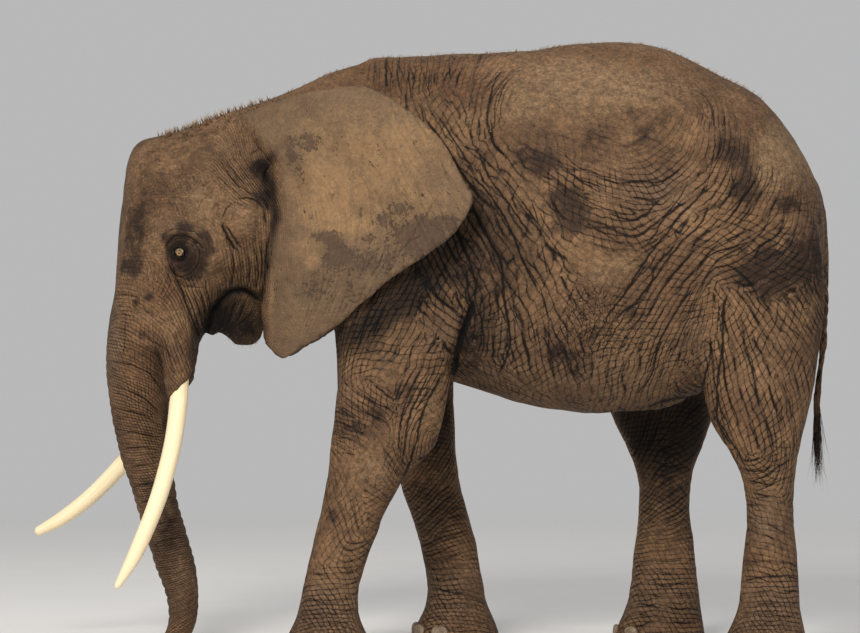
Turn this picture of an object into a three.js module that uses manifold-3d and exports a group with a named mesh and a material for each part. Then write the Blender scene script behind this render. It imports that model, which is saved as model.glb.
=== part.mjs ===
// A life-size African bush elephant cow, standing in mid-stride with her head lowered and her
// trunk hanging. Millimetres, +Z up. She faces -X, and her left side is -Y. The frame's origin
// is on the ground, under the middle of the whole animal.
import * as THREE from "three";
import { mergeVertices } from "three/addons/utils/BufferGeometryUtils.js";
import Module from "manifold-3d";

const wasm = await Module();
wasm.setup();

// ---------------------------------------------------------------- driving dimensions

const GAP = 0.4; // clearance that neighbouring pieces keep
const LEFT = -1; // the sign of Y on the animal's left side
const RIGHT = 1;

const EYE = { x: -1037, z: 1665, out: 262, radius: 26 };
const TUSK_RADII = [37, 38, 38, 37, 36, 34, 29, 11]; // from the root to the tip
const EAR = {
  middle: { x: -330, z: 1840 }, // where the sheet's rings start
  root: { x: -640, out: 272, slant: 0.86, slantFrom: 2040 }, // the line along which it leaves the head
  thickness: { half: 10, root: 10, rim: 2.5 }, // half values, the root's on top of the sheet's
  flare: 0.36, // how far it stands out for each millimetre behind its root
  roll: { out: 62, start: -60, reach: 45 }, // the front edge, rolled out of the head
  sunk: { from: 1560, to: 1720, behind: -12, slope: 3 }, // the stretch that is grown to the head
  lean: { top: 0.0012, root: 0.0022, reach: 200, from: 2000, lobe: 0.08, lobeFrom: 1640 },
  wave: { out: 8, length: 120, slant: 1.3, from: 60, to: 420 },
};
const EAR_SPREAD = { left: 1, right: 0.95 }; // the right ear lies a little closer to the neck
const TRUNK_CUTS = { root: 1085, middle: 600, tip: 190 }; // heights at which the trunk is divided
const NECK_CUT = { x: -600, z: 1800, lean: 12 }; // the plane that parts head and neck: a point, its tilt
const TUFT = {
  locks: 12, seed: 11, x: 1637, out: 12,
  length: 262, shortest: 0.62, // the shortest lock as a share of the longest
  width: 13, thickness: 3.2, tip: 1.2,
  first: 10, last: 140, // how far below the tuft's top the locks start
  spread: { least: 13, most: 33, foot: 3, back: 6 },
};
const WELD = 1e-4; // corners nearer than this are one

// ---------------------------------------------------------------- smooth forms

const HALF_TURN = Math.PI;
const FULL_TURN = 2 * Math.PI;
const radians = THREE.MathUtils.degToRad;
const fade = (value, from, to) => THREE.MathUtils.smoothstep(value, from, to);

// A smooth value through the stations: cubic Hermite pieces whose slope at a station is that
// of the line between its two neighbours.
function smoothThrough(knots, values) {
  const last = knots.length - 1;
  const slopes = knots.map((_, i) => {
    const before = Math.max(i - 1, 0);
    const after = Math.min(i + 1, last);
    return (values[after] - values[before]) / (knots[after] - knots[before]);
  });
  return (at) => {
    const i = THREE.MathUtils.clamp(Math.floor(at), 0, last - 1);
    const span = knots[i + 1] - knots[i];
    const s = at - i;
    const rise = s * s * (3 - 2 * s);
    return (
      values[i] * (1 - rise) +
      values[i + 1] * rise +
      span * slopes[i] * s * (1 - s) * (1 - s) -
      span * slopes[i + 1] * s * s * (1 - s)
    );
  };
}

// A closed surface with a pole at each end: place(u, v) gives the point at u round it and at
// ring v, for rings 0 to `rings`; poles are the two end points.
function closedForm(around, rings, place, poles) {
  const points = [poles[0]];
  for (let ring = 0; ring <= rings; ring++) {
    for (let i = 0; i < around; i++) points.push(place(i / around, ring));
  }
  points.push(poles[1]);
  const index = [];
  const at = (ring, i) => 1 + ring * around + (i % around);
  for (let i = 0; i < around; i++) {
    index.push(0, at(0, i + 1), at(0, i));
    index.push(points.length - 1, at(rings, i), at(rings, i + 1));
  }
  for (let ring = 0; ring < rings; ring++) {
    for (let i = 0; i < around; i++) {
      index.push(at(ring, i), at(ring, i + 1), at(ring + 1, i + 1));
      index.push(at(ring, i), at(ring + 1, i + 1), at(ring + 1, i));
    }
  }
  return new THREE.BufferGeometry().setFromPoints(points).setIndex(index);
}

// A body carried along its stations. Each station is a ring in the plane of Y and a direction
// in the XZ plane: lean 0 points to the animal's front, 90 straight up. half is its reach to
// each side, fore and aft its reach along and against that direction, and foreSquare and
// aftSquare its roundness: 2 is an ellipse, less is pointed, more is boxy.
function bodyForm(stations, { around = 24, steps = 3, grow = 0 } = {}) {
  const centres = stations.map((s) => new THREE.Vector3(s.x, s.y, s.z));
  const knots = [0];
  for (let i = 1; i < centres.length; i++) {
    knots.push(knots[i - 1] + centres[i].distanceTo(centres[i - 1]));
  }
  const read = {};
  for (const key of ["x", "y", "z", "half", "fore", "aft", "lean", "foreSquare", "aftSquare"]) {
    read[key] = smoothThrough(knots, stations.map((s) => s[key]));
  }
  const centreAt = (at) => new THREE.Vector3(read.x(at), read.y(at), read.z(at));
  const place = (u, ring) => {
    const at = ring / steps;
    const angle = FULL_TURN * u;
    const forward = Math.sin(angle) >= 0;
    const power = 2 / (forward ? read.foreSquare(at) : read.aftSquare(at));
    const across = Math.sign(Math.cos(angle)) * Math.abs(Math.cos(angle)) ** power;
    const along = Math.sign(Math.sin(angle)) * Math.abs(Math.sin(angle)) ** power;
    const reach = (forward ? read.fore(at) : read.aft(at)) + grow;
    const lean = radians(read.lean(at));
    const offset = new THREE.Vector3(-Math.cos(lean), 0, Math.sin(lean)).multiplyScalar(along * reach);
    offset.y = across * (read.half(at) + grow);
    return centreAt(at).add(offset);
  };
  const last = stations.length - 1;
  const beyond = centreAt(last).sub(centreAt(last - 0.1)).setLength(grow);
  const before = centreAt(0).sub(centreAt(0.1)).setLength(grow);
  const poles = [centreAt(0).add(before), centreAt(last).add(beyond)];
  return solidOf(closedForm(around, last * steps, place, poles));
}

// Stations of a body that lies along X, from its side and top outline.
const along = (rows) =>
  rows.map(([x, top, widest, bottom, half, foreSquare = 2, aftSquare = 2.2]) => ({
    x, y: 0, z: widest, half, fore: top - widest, aft: widest - bottom, lean: 90, foreSquare, aftSquare,
  }));

// Stations of a body that stands upright, from its side outline, centre line and half width.
const upright = (rows, side = 0) =>
  rows.map(([z, front, rear, out, half, square = 2.2]) => ({
    x: (front + rear) / 2, y: side * out, z, half, fore: (rear - front) / 2, aft: (rear - front) / 2,
    lean: 0, foreSquare: square, aftSquare: square,
  }));

// Stations of a round or oval tube along a path of [x, z, out, half, deep] rows, whose rings
// stand square to the path.
function tube(rows, side = 1) {
  return rows.map(([x, z, out, half, deep = half], i) => {
    const from = rows[Math.max(i - 1, 0)];
    const to = rows[Math.min(i + 1, rows.length - 1)];
    const heading = Math.atan2(to[1] - from[1], to[0] - from[0]);
    const lean = THREE.MathUtils.radToDeg(-heading) - 90;
    return { x, y: side * out, z, half, fore: deep, aft: deep, lean, foreSquare: 2, aftSquare: 2 };
  });
}

function ellipsoid(x, y, z, radiusX, radiusY, radiusZ, turn = 0, detail = 16) {
  const ball = new THREE.SphereGeometry(1, detail, Math.round(detail * 0.7));
  ball.scale(radiusX, radiusY, radiusZ).rotateY(radians(turn)).translate(x, y, z);
  return solidOf(ball);
}

// ---------------------------------------------------------------- solids and cuts

function solidOf(geometry) {
  const bare = geometry.index ? geometry.toNonIndexed() : geometry.clone();
  bare.deleteAttribute("normal");
  bare.deleteAttribute("uv");
  const merged = mergeVertices(bare, WELD);
  const make = (triVerts) =>
    new wasm.Manifold(
      new wasm.Mesh({ numProp: 3, vertProperties: merged.attributes.position.array, triVerts }),
    );
  const triVerts = new Uint32Array(merged.index.array);
  const solid = make(triVerts);
  if (solid.volume() > 0) return solid;
  return make(triVerts.reverse());
}

const join = (...solids) => solids.reduce((whole, piece) => whole.add(piece));
const cut = (solid, ...cutters) => cutters.reduce((left, cutter) => left.subtract(cutter), solid);

// The largest closed body of a solid, which drops a loose scrap that a cut has left.
function largest(solid) {
  const bodies = solid.decompose();
  return bodies.reduce((best, body) => (body.volume() > best.volume() ? body : best));
}

// The part of a solid above or below a level.
const above = (solid, level) => solid.trimByPlane([0, 0, 1], level);
const below = (solid, level) => solid.trimByPlane([0, 0, -1], -level);

const group = new THREE.Group();

function addNode(name, solid, material) {
  const { numProp, vertProperties, triVerts } = largest(solid).getMesh();
  const positions = new Float32Array((vertProperties.length / numProp) * 3);
  for (let i = 0; i < positions.length / 3; i++) {
    positions.set(vertProperties.subarray(i * numProp, i * numProp + 3), i * 3);
  }
  const geometry = new THREE.BufferGeometry()
    .setAttribute("position", new THREE.BufferAttribute(positions, 3))
    .setIndex(new THREE.BufferAttribute(new Uint32Array(triVerts), 1));
  geometry.computeVertexNormals();
  const mesh = new THREE.Mesh(geometry, material.clone());
  mesh.name = name;
  group.add(mesh);
}

const finish = (color, roughness) => new THREE.MeshStandardMaterial({ color, roughness, metalness: 0 });
const SKIN = finish(0x6e5842, 0.85);
const EAR_SKIN = finish(0x8a6e50, 0.8);
const IVORY = finish(0xf2e0b6, 0.35);
const EYEBALL = finish(0x2a1a10, 0.08);
const HAIR = finish(0x1c1511, 0.6);

// ---------------------------------------------------------------- torso and neck

// x, top, widest level, bottom, half width, roundness of the upper half
const TORSO = along([
  [-430, 2080, 1730, 1440, 150],
  [-385, 2330, 1730, 1290, 255],
  [-290, 2474, 1710, 1200, 335, 1.9],
  [-120, 2505, 1680, 1150, 400, 1.9],
  [110, 2510, 1640, 1124, 462, 1.95],
  [350, 2522, 1600, 1041, 540, 1.95],
  [610, 2549, 1570, 1000, 585, 1.95],
  [810, 2567, 1580, 1000, 572, 1.95],
  [1010, 2522, 1640, 1024, 535, 2],
  [1210, 2432, 1690, 1110, 496, 2.1],
  [1400, 2315, 1710, 1230, 446, 2.2],
  [1502, 2199, 1710, 1320, 388, 2.3],
  [1585, 2070, 1700, 1410, 302, 2.3],
  [1636, 1938, 1690, 1505, 200, 2.2],
  [1655, 1815, 1690, 1585, 95],
]);

// The cranium and the neck behind it.
const CROWN = along([
  [-1292, 1960, 1760, 1560, 95],
  [-1274, 2070, 1760, 1500, 165],
  [-1230, 2136, 1780, 1470, 212, 2.2],
  [-1150, 2160, 1800, 1460, 248, 2.6],
  [-1000, 2208, 1810, 1460, 270, 2.3],
  [-850, 2264, 1820, 1480, 282, 2.2],
  [-700, 2320, 1830, 1480, 288, 2.1],
  [-550, 2372, 1810, 1430, 302, 2],
  [-400, 2440, 1780, 1370, 330, 1.9],
  [-230, 2484, 1750, 1350, 330, 1.9],
]);

// The face below the brow: level, front, rear, offset, half width
const FACE = upright([
  [1990, -1245, -900, 0, 160],
  [1890, -1297, -860, 0, 228],
  [1768, -1312, -830, 0, 266],
  [1640, -1323, -800, 0, 274],
  [1560, -1330, -795, 0, 262],
  [1500, -1336, -838, 0, 244],
  [1437, -1345, -893, 0, 226],
  [1387, -1353, -920, 0, 214],
  [1330, -1360, -948, 0, 200],
  [1275, -1362, -985, 0, 180],
]);

const JAW = upright([
  [1600, -940, -680, 0, 186],
  [1520, -940, -680, 0, 172],
  [1430, -942, -682, 0, 146],
  [1370, -936, -696, 0, 116],
  [1338, -893, -706, 0, 88],
  [1308, -852, -716, 0, 62],
  [1280, -828, -748, 0, 32],
]);

// ---------------------------------------------------------------- trunk and tusks

// x, z, offset, half width, half depth
const TRUNK = tube([
  [-1190, 1480, 0, 190, 130],
  [-1222, 1330, 0, 172, 138],
  [-1232, 1180, 0, 146, 137],
  [-1228, 1040, 0, 126, 127],
  [-1212, 870, 0, 110, 106],
  [-1180, 710, 0, 98, 94],
  [-1136, 540, 0, 88, 87],
  [-1086, 381, 0, 80, 81],
  [-1050, 240, 0, 71, 70],
  [-1046, 130, 0, 64, 60],
  [-1066, 62, 0, 60, 52],
  [-1090, 30, 0, 55, 44],
]);

// A fleshy sheath holds each tusk's root: x, z, offset, half width, half depth
const SHEATHS = {
  left: [
    [-1130, 1560, 110, 100, 110],
    [-1080, 1390, 146, 84, 90],
    [-1054, 1260, 174, 68, 68],
    [-1046, 1140, 196, 51, 49],
  ],
  right: [
    [-1130, 1560, 110, 100, 110],
    [-1080, 1390, 146, 84, 90],
    [-1060, 1260, 174, 68, 68],
    [-1064, 1140, 200, 51, 49],
  ],
};

// The tusks curve forward, the right one more than the left: x, z, offset
const TUSK_PATHS = {
  left: [
    [-1036, 1270, 172],
    [-1044, 1150, 195],
    [-1048, 1050, 207],
    [-1069, 880, 235],
    [-1112, 700, 266],
    [-1160, 560, 289],
    [-1229, 400, 312],
    [-1300, 275, 326],
  ],
  right: [
    [-1036, 1270, 172],
    [-1062, 1150, 197],
    [-1112, 1026, 220],
    [-1207, 894, 254],
    [-1330, 762, 290],
    [-1465, 626, 316],
    [-1595, 527, 336],
    [-1714, 462, 350],
  ],
};

function tuskForm(name, side, grow = 0) {
  const rows = TUSK_PATHS[name].map((place, i) => [...place, TUSK_RADII[i]]);
  return bodyForm(tube(rows, side), { around: 10, steps: 2, grow });
}

// ---------------------------------------------------------------- legs

// level, front, rear, distance from the middle, half width
const LEGS = {
  foreLeft: [
    [1900, -330, -20, 238, 70],
    [1780, -392, 60, 258, 116],
    [1620, -416, 130, 276, 140],
    [1400, -402, 140, 290, 146],
    [1180, -388, 96, 298, 143],
    [1000, -392, 56, 298, 137],
    [850, -409, 12, 294, 128],
    [750, -421, -88, 288, 120],
    [620, -450, -168, 282, 113],
    [460, -488, -235, 275, 109],
    [300, -522, -290, 270, 109],
    [170, -550, -296, 270, 124],
    [90, -582, -266, 270, 152],
    [30, -606, -236, 270, 171],
    [0, -604, -238, 270, 170],
  ],
  foreRight: [
    [1900, -310, 0, 238, 70],
    [1780, -370, 80, 258, 116],
    [1620, -380, 140, 276, 140],
    [1400, -330, 140, 290, 146],
    [1120, -240, 106, 298, 141],
    [900, -180, 104, 296, 131],
    [740, -145, 118, 290, 120],
    [590, -99, 150, 281, 112],
    [430, -44, 198, 273, 110],
    [280, -12, 226, 268, 111],
    [170, -16, 244, 268, 124],
    [90, -46, 278, 268, 152],
    [30, -72, 298, 268, 171],
    [0, -70, 296, 268, 170],
  ],
  hindLeft: [
    [2180, 1100, 1320, 150, 80],
    [1960, 1000, 1520, 238, 150],
    [1700, 990, 1626, 282, 178],
    [1440, 1060, 1634, 300, 184],
    [1180, 1128, 1600, 302, 168],
    [1000, 1152, 1562, 297, 152],
    [850, 1240, 1528, 288, 132],
    [720, 1298, 1512, 278, 116],
    [580, 1316, 1508, 268, 107],
    [400, 1300, 1524, 260, 108],
    [200, 1282, 1536, 256, 114],
    [100, 1246, 1556, 256, 131],
    [30, 1216, 1568, 256, 148],
    [0, 1217, 1566, 256, 147],
  ],
  hindRight: [
    [2180, 1060, 1280, 150, 80],
    [1960, 930, 1480, 238, 150],
    [1700, 860, 1540, 282, 178],
    [1440, 800, 1470, 300, 184],
    [1180, 762, 1322, 302, 168],
    [1000, 782, 1238, 297, 152],
    [850, 848, 1174, 288, 132],
    [720, 892, 1128, 278, 117],
    [560, 900, 1122, 268, 108],
    [380, 881, 1142, 260, 110],
    [200, 858, 1160, 256, 115],
    [100, 826, 1174, 256, 131],
    [30, 796, 1184, 256, 148],
    [0, 797, 1182, 256, 147],
  ],
};

const LEG_CUTS = { fore: { upper: 800, foot: 150 }, hind: { upper: 700, foot: 150 } }; // levels

// The shoulder and the hip end in an oval line on the flank: its middle and its half sizes.
const GIRDLES = {
  foreLeft: { x: -140, z: 1470, halfX: 292, halfZ: 330 },
  foreRight: { x: -120, z: 1470, halfX: 292, halfZ: 330 },
  hindLeft: { x: 1372, z: 1530, halfX: 335, halfZ: 400 },
  hindRight: { x: 1180, z: 1490, halfX: 385, halfZ: 440 },
};
const GIRDLE_DEPTH = 170; // the distance from the animal's middle at which they end

function girdleForm({ x, z, halfX, halfZ }, side, grow = 0) {
  const oval = new THREE.Shape().absellipse(0, 0, halfX + grow, halfZ + grow, 0, FULL_TURN);
  const plug = new THREE.ExtrudeGeometry(oval, { depth: 600 + grow, bevelEnabled: false, curveSegments: 14 });
  plug.rotateX(side < 0 ? HALF_TURN / 2 : -HALF_TURN / 2);
  return solidOf(plug.translate(x, side * (GIRDLE_DEPTH - grow), z));
}

// Toenails stand round the front of each foot, as flat ovals sunk into it.
const NAILS = {
  fore: { angles: [-66, -28, 12, 50], width: 41, height: 37, depth: 16, level: 44, sunk: 0.97, clear: 2 },
  hind: { angles: [-46, 0, 44], width: 37, height: 34, depth: 15, level: 42, sunk: 0.97, clear: 2 },
};

function nailForms(kind, rows, side) {
  const nails = NAILS[kind];
  const [, front, rear, out, half] = rows[rows.length - 2];
  const centreX = (front + rear) / 2;
  const reach = (rear - front) / 2;
  return nails.angles.map((degrees) => {
    const angle = radians(degrees);
    const x = centreX - reach * Math.cos(angle) * nails.sunk;
    const y = side * out + side * half * Math.sin(angle) * nails.sunk;
    const nail = new THREE.SphereGeometry(1, 8, 5);
    nail.scale(nails.depth, nails.width, nails.height).rotateZ(-side * angle).translate(x, y, nails.level);
    return above(solidOf(nail), nails.clear);
  });
}

// ---------------------------------------------------------------- tail

const TAIL = tube([
  [1540, 2020, 0, 58, 56],
  [1614, 1938, 0, 42, 40],
  [1648, 1800, 3, 34, 31],
  [1660, 1650, 6, 29, 26],
  [1665, 1450, 9, 24, 20],
  [1662, 1270, 11, 20, 17],
  [1646, 1140, 12, 18, 15],
  [1637, 1030, 12, 16, 14],
  [1635, 940, 12, 14, 11],
  [1638, 880, 12, 8, 7],
], LEFT);
const TUFT_TOP = 1030; // the level from which the tail's long hairs grow

// A repeatable stream of numbers from 0 to 1.
function numbersFrom(seed) {
  let state = seed;
  return () => {
    state = (state * 16807) % 2147483647;
    return state / 2147483647;
  };
}

// Flat, tapered locks of stiff hair, set round the tail's end and bending as they fall.
function tuftForm() {
  const draw = numbersFrom(TUFT.seed);
  const locks = [];
  for (let i = 0; i < TUFT.locks; i++) {
    const angle = (FULL_TURN * i) / TUFT.locks;
    const top = TUFT_TOP - THREE.MathUtils.lerp(TUFT.first, TUFT.last, draw());
    const length = TUFT.length * THREE.MathUtils.lerp(TUFT.shortest, 1, draw());
    const { least, most, foot, back } = TUFT.spread;
    const spread = THREE.MathUtils.lerp(least, most, draw());
    const rows = [0, 0.34, 0.68, 1].map((share) => {
      const away = foot + spread * share * (1.1 - 0.5 * share); // it bends in again as it falls
      const width = TUFT.width * (1 - share) ** 0.6 + TUFT.tip;
      const thick = TUFT.thickness * (1 - 0.7 * share);
      const x = TUFT.x + back * share + Math.cos(angle) * away;
      return [x, top - length * share, TUFT.out + Math.sin(angle) * away, width, thick];
    });
    locks.push(bodyForm(tube(rows, LEFT), { around: 4, steps: 1 }));
  }
  return join(...locks);
}

// ---------------------------------------------------------------- ears

// The rim of an ear seen from the side, from the front of its root over the top: x, z
const EAR_RIM = new THREE.CatmullRomCurve3(
  [
    [-672, 1850], [-682, 2010], [-735, 2125], [-806, 2232], [-690, 2284], [-535, 2328], [-390, 2349],
    [-254, 2347], [-139, 2284], [41, 2128], [123, 1979], [174, 1880], [149, 1813], [82, 1722],
    [-123, 1582], [-262, 1468], [-402, 1345], [-549, 1257], [-618, 1230], [-674, 1274], [-703, 1400],
    [-688, 1530], [-676, 1680],
  ].map(([x, z]) => new THREE.Vector3(x, 0, z)),
  true,
  "centripetal",
);

const EAR_FLARE_START = -20; // the flare starts this far in front of the root
const EAR_ROOT_FADE = [-60, 220]; // the stretch about the root's line that is thicker
const EAR_RINGS = [0, 0.34, 0.62, 0.82, 0.93, 1]; // as shares of the way from the middle to the rim
const EAR_AROUND = 36;

// How far the ear stands out from the middle of the body at a point of its side view: it
// rolls out of the head in front, flares towards the rear, and leans in at its top and lobe.
function earOut(x, z) {
  const { root, roll: edge, sunk: grown, lean, wave: ripple } = EAR;
  const behind = x - root.x + root.slant * Math.max(z - root.slantFrom, 0);
  const roll = edge.out * (1 - Math.exp(-Math.max(behind - edge.start, 0) / edge.reach));
  const sunk = fade(z, grown.from, grown.to) * Math.max(grown.behind - behind, 0) * grown.slope;
  const rootLean = lean.root * Math.exp(-Math.max(behind, 0) / lean.reach);
  const topLean = (lean.top + rootLean) * Math.max(z - lean.from, 0) ** 2;
  const lobeLean = lean.lobe * Math.max(lean.lobeFrom - z, 0);
  const phase = (x + ripple.slant * z) / ripple.length;
  const wave = ripple.out * Math.sin(phase) * fade(behind, ripple.from, ripple.to);
  const flare = EAR.flare * Math.max(behind, EAR_FLARE_START);
  return root.out + roll + flare - sunk - topLean - lobeLean + wave;
}

// A thin cupped sheet: rings run from its middle to the rim, alike on both faces, and the
// two faces meet along the rim.
function earForm(side, spread = 1) {
  const around = EAR_AROUND;
  const rings = EAR_RINGS.length - 1;
  const rim = EAR_RIM.getSpacedPoints(around);
  const { middle, root, thickness } = EAR;
  const points = [];
  const half = (share, x) => {
    const rooted = 1 - fade(x - root.x, ...EAR_ROOT_FADE);
    return THREE.MathUtils.lerp(thickness.half + thickness.root * rooted, thickness.rim, share ** 3);
  };
  const push = (share, i, face) => {
    const x = root.x + spread * (THREE.MathUtils.lerp(middle.x, rim[i].x, share) - root.x);
    const z = THREE.MathUtils.lerp(middle.z, rim[i].z, share);
    const y = earOut(x, z) + face * half(share, x);
    points.push(new THREE.Vector3(x, side * y, z));
  };
  for (const face of [1, -1]) {
    push(0, 0, face);
    for (let ring = 1; ring <= rings; ring++) {
      for (let i = 0; i < around; i++) push(EAR_RINGS[ring], i, face);
    }
  }
  const perFace = 1 + rings * around;
  const at = (ring, i) => (ring === 0 ? 0 : 1 + (ring - 1) * around + (i % around));
  const index = [];
  for (let i = 0; i < around; i++) {
    for (let ring = 0; ring < rings; ring++) {
      const quad = [at(ring, i), at(ring + 1, i), at(ring + 1, i + 1), at(ring, i + 1)];
      const faces = ring === 0 ? [[0, 1, 2]] : [[0, 1, 2], [0, 2, 3]];
      for (const [a, b, c] of faces) {
        index.push(quad[a], quad[b], quad[c]);
        index.push(quad[a] + perFace, quad[c] + perFace, quad[b] + perFace);
      }
    }
    const outer = [at(rings, i), at(rings, i + 1)];
    index.push(outer[0], outer[0] + perFace, outer[1] + perFace);
    index.push(outer[0], outer[1] + perFace, outer[1]);
  }
  return solidOf(new THREE.BufferGeometry().setFromPoints(points).setIndex(index));
}

// ---------------------------------------------------------------- head

const eyeForm = (side, grow = 0) =>
  ellipsoid(EYE.x, side * EYE.out, EYE.z, EYE.radius + grow, EYE.radius + grow, EYE.radius + grow, 0, 12);

const LID = { reach: 40, arch: 26, out: 10, corner: 6, fuller: 8 };

// A rounded lid that arches over or under the eye, from corner to corner.
function lidForm(side, up) {
  const rows = [-1, -0.5, 0, 0.5, 1].map((share) => {
    const rise = Math.cos((share * HALF_TURN) / 2);
    const thick = LID.corner + LID.fuller * rise;
    const out = EYE.out + LID.out + LID.fuller * rise;
    return [EYE.x + share * LID.reach, EYE.z + up * LID.arch * rise, out, thick, thick * 0.9];
  });
  return bodyForm(tube(rows, side), { around: 6, steps: 2 });
}

// One side's forms of the head: the brow above the eye, the cheekbone behind it and the knob
// of the jaw's joint, as x, offset, z, three radii and a turn.
const KNOBS = [
  [-1055, 208, 1752, 130, 72, 74, 14],
  [-915, 212, 1668, 170, 80, 84, 12],
  [-775, 250, 1795, 92, 56, 92, 0],
];

function sideForms(side, grow) {
  return KNOBS.map(([x, out, z, radiusX, radiusY, radiusZ, turn]) =>
    ellipsoid(x, side * out, z, radiusX + grow, radiusY + grow, radiusZ + grow, turn, 10),
  );
}

function sheathForm(name, side, grow) {
  return bodyForm(tube(SHEATHS[name], side), { around: 12, steps: 2, grow });
}

// The cleft of the mouth runs back from under the lip, between the face and the lower jaw.
function mouthForm() {
  return ellipsoid(-918, 0, 1372, 20, 210, 128, 29, 12);
}

function headForm(grow = 0) {
  return join(
    bodyForm(CROWN, { around: 18, steps: 2, grow }),
    bodyForm(FACE, { around: 18, steps: 1, grow }),
    above(bodyForm(TRUNK, { around: 18, steps: 2, grow }), TRUNK_CUTS.root - grow),
    sheathForm("left", LEFT, grow),
    sheathForm("right", RIGHT, grow),
    ...sideForms(LEFT, grow),
    ...sideForms(RIGHT, grow),
  );
}

// ---------------------------------------------------------------- the animal in its pieces

const torsoWith = (grow) => bodyForm(TORSO, { around: 26, steps: 2, grow });
const torso = torsoWith(0);
const torsoGrown = torsoWith(GAP);
const head = headForm(0);
const headGrown = headForm(GAP);
const neckPlane = [Math.cos(radians(NECK_CUT.lean)), 0, -Math.sin(radians(NECK_CUT.lean))];
const neckOffset = NECK_CUT.x * neckPlane[0] + NECK_CUT.z * neckPlane[2];
const backwards = neckPlane.map((part) => -part);

// The legs grow out of the torso: each takes the part of it inside its girdle's oval.
const legs = {};
const girdlesGrown = [];
for (const pair of ["fore", "hind"]) {
  for (const [name, side] of [["Left", LEFT], ["Right", RIGHT]]) {
    const key = pair + name;
    const column = bodyForm(upright(LEGS[key], side), { around: 15, steps: 1 });
    const girdle = girdleForm(GIRDLES[key], side);
    const inside = join(torso, column).intersect(girdle);
    legs[key] = cut(join(cut(column, torsoGrown), inside), headGrown);
    girdlesGrown.push(girdleForm(GIRDLES[key], side, GAP));
  }
}

addNode("torso", cut(torso, ...girdlesGrown), SKIN);
addNode("neck", cut(head.trimByPlane(neckPlane, neckOffset + GAP / 2), torsoGrown), SKIN);

const jaw = bodyForm(JAW, { around: 16, steps: 1 });
const jawGrown = bodyForm(JAW, { around: 16, steps: 1, grow: GAP });
const tuskSockets = [tuskForm("left", LEFT, GAP), tuskForm("right", RIGHT, GAP)];
const eyeSockets = [eyeForm(LEFT, GAP), eyeForm(RIGHT, GAP)];
const lids = [LEFT, RIGHT].flatMap((side) => [lidForm(side, 1), lidForm(side, -1)]);
const headFront = join(head, ...lids).trimByPlane(backwards, -neckOffset + GAP / 2);
addNode("head", cut(headFront, mouthForm(), jawGrown, ...tuskSockets, ...eyeSockets), SKIN);
addNode("jaw", jaw, SKIN);

// The trunk in three lengths, with two fingers and two nostrils at its tip.
const NOSTRIL = [
  [-1062, 130, 24, 10, 14],
  [-1074, 70, 25, 15, 18],
  [-1104, 8, 25, 17, 21],
  [-1118, -20, 25, 17, 21],
];
const nostril = (side) => bodyForm(tube(NOSTRIL, side), { around: 7, steps: 1 });
const fingers = [
  ellipsoid(-1124, 0, 42, 24, 22, 15, -38, 8),
  ellipsoid(-1066, 0, 22, 14, 26, 18, 20, 8),
];
const trunkAll = join(bodyForm(TRUNK, { around: 18, steps: 2 }), ...fingers);
const sheathsGrown = [sheathForm("left", LEFT, GAP), sheathForm("right", RIGHT, GAP)];
const trunkBelow = cut(below(trunkAll, TRUNK_CUTS.root - GAP), ...sheathsGrown, ...tuskSockets);
addNode("trunk_upper", above(trunkBelow, TRUNK_CUTS.middle + GAP), SKIN);
const trunkEnd = below(trunkBelow, TRUNK_CUTS.middle);
addNode("trunk_middle", above(trunkEnd, TRUNK_CUTS.tip + GAP), SKIN);
const trunkTip = cut(below(trunkEnd, TRUNK_CUTS.tip), nostril(LEFT), nostril(RIGHT));
addNode("trunk_tip", trunkTip, SKIN);

for (const [name, side] of [["left", LEFT], ["right", RIGHT]]) {
  addNode(`tusk_${name}`, tuskForm(name, side), IVORY);
  addNode(`eye_${name}`, eyeForm(side), EYEBALL);
  addNode(`ear_${name}`, cut(earForm(side, EAR_SPREAD[name]), headGrown, torsoGrown), EAR_SKIN);
}

// Each leg is divided above the knee and at the foot.
for (const pair of ["fore", "hind"]) {
  for (const [name, side] of [["Left", LEFT], ["Right", RIGHT]]) {
    const leg = legs[pair + name];
    const cuts = LEG_CUTS[pair];
    const node = `${pair}leg_${name.toLowerCase()}`;
    const foot = join(below(leg, cuts.foot), ...nailForms(pair, LEGS[pair + name], side));
    addNode(`${node}_upper`, above(leg, cuts.upper + GAP), SKIN);
    addNode(`${node}_lower`, above(below(leg, cuts.upper), cuts.foot + GAP), SKIN);
    addNode(`${node}_foot`, foot, SKIN);
  }
}

const tail = cut(bodyForm(TAIL, { around: 8, steps: 1 }), torsoGrown);
addNode("tail", above(tail, TUFT_TOP + GAP), SKIN);
addNode("tail_tuft", join(below(tail, TUFT_TOP), below(tuftForm(), TUFT_TOP)), HAIR);

// The origin goes on the ground under the middle of the whole animal.
const bounds = new THREE.Box3().setFromObject(group);
const middle = bounds.getCenter(new THREE.Vector3());
group.position.set(-middle.x, -middle.y, -bounds.min.z);

export default group;
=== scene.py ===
"""Dresses a life-size elephant cow: one skin over her flesh, with her eyes, tusks, nails and hair.

Lengths are in millimetres in the animal's own frame until a mesh is made: X runs to the tail,
Y to her right side and Z up, with the ground at 0. Folds, wrinkles, stains and painted shade
are drawn on a flat side view of her, as it is seen from 14 metres away.
"""

import logging
import math
from dataclasses import dataclass, field
from enum import Enum
from functools import partial, reduce
from operator import add, attrgetter
from typing import Any, Callable, Iterable, Sequence

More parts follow.
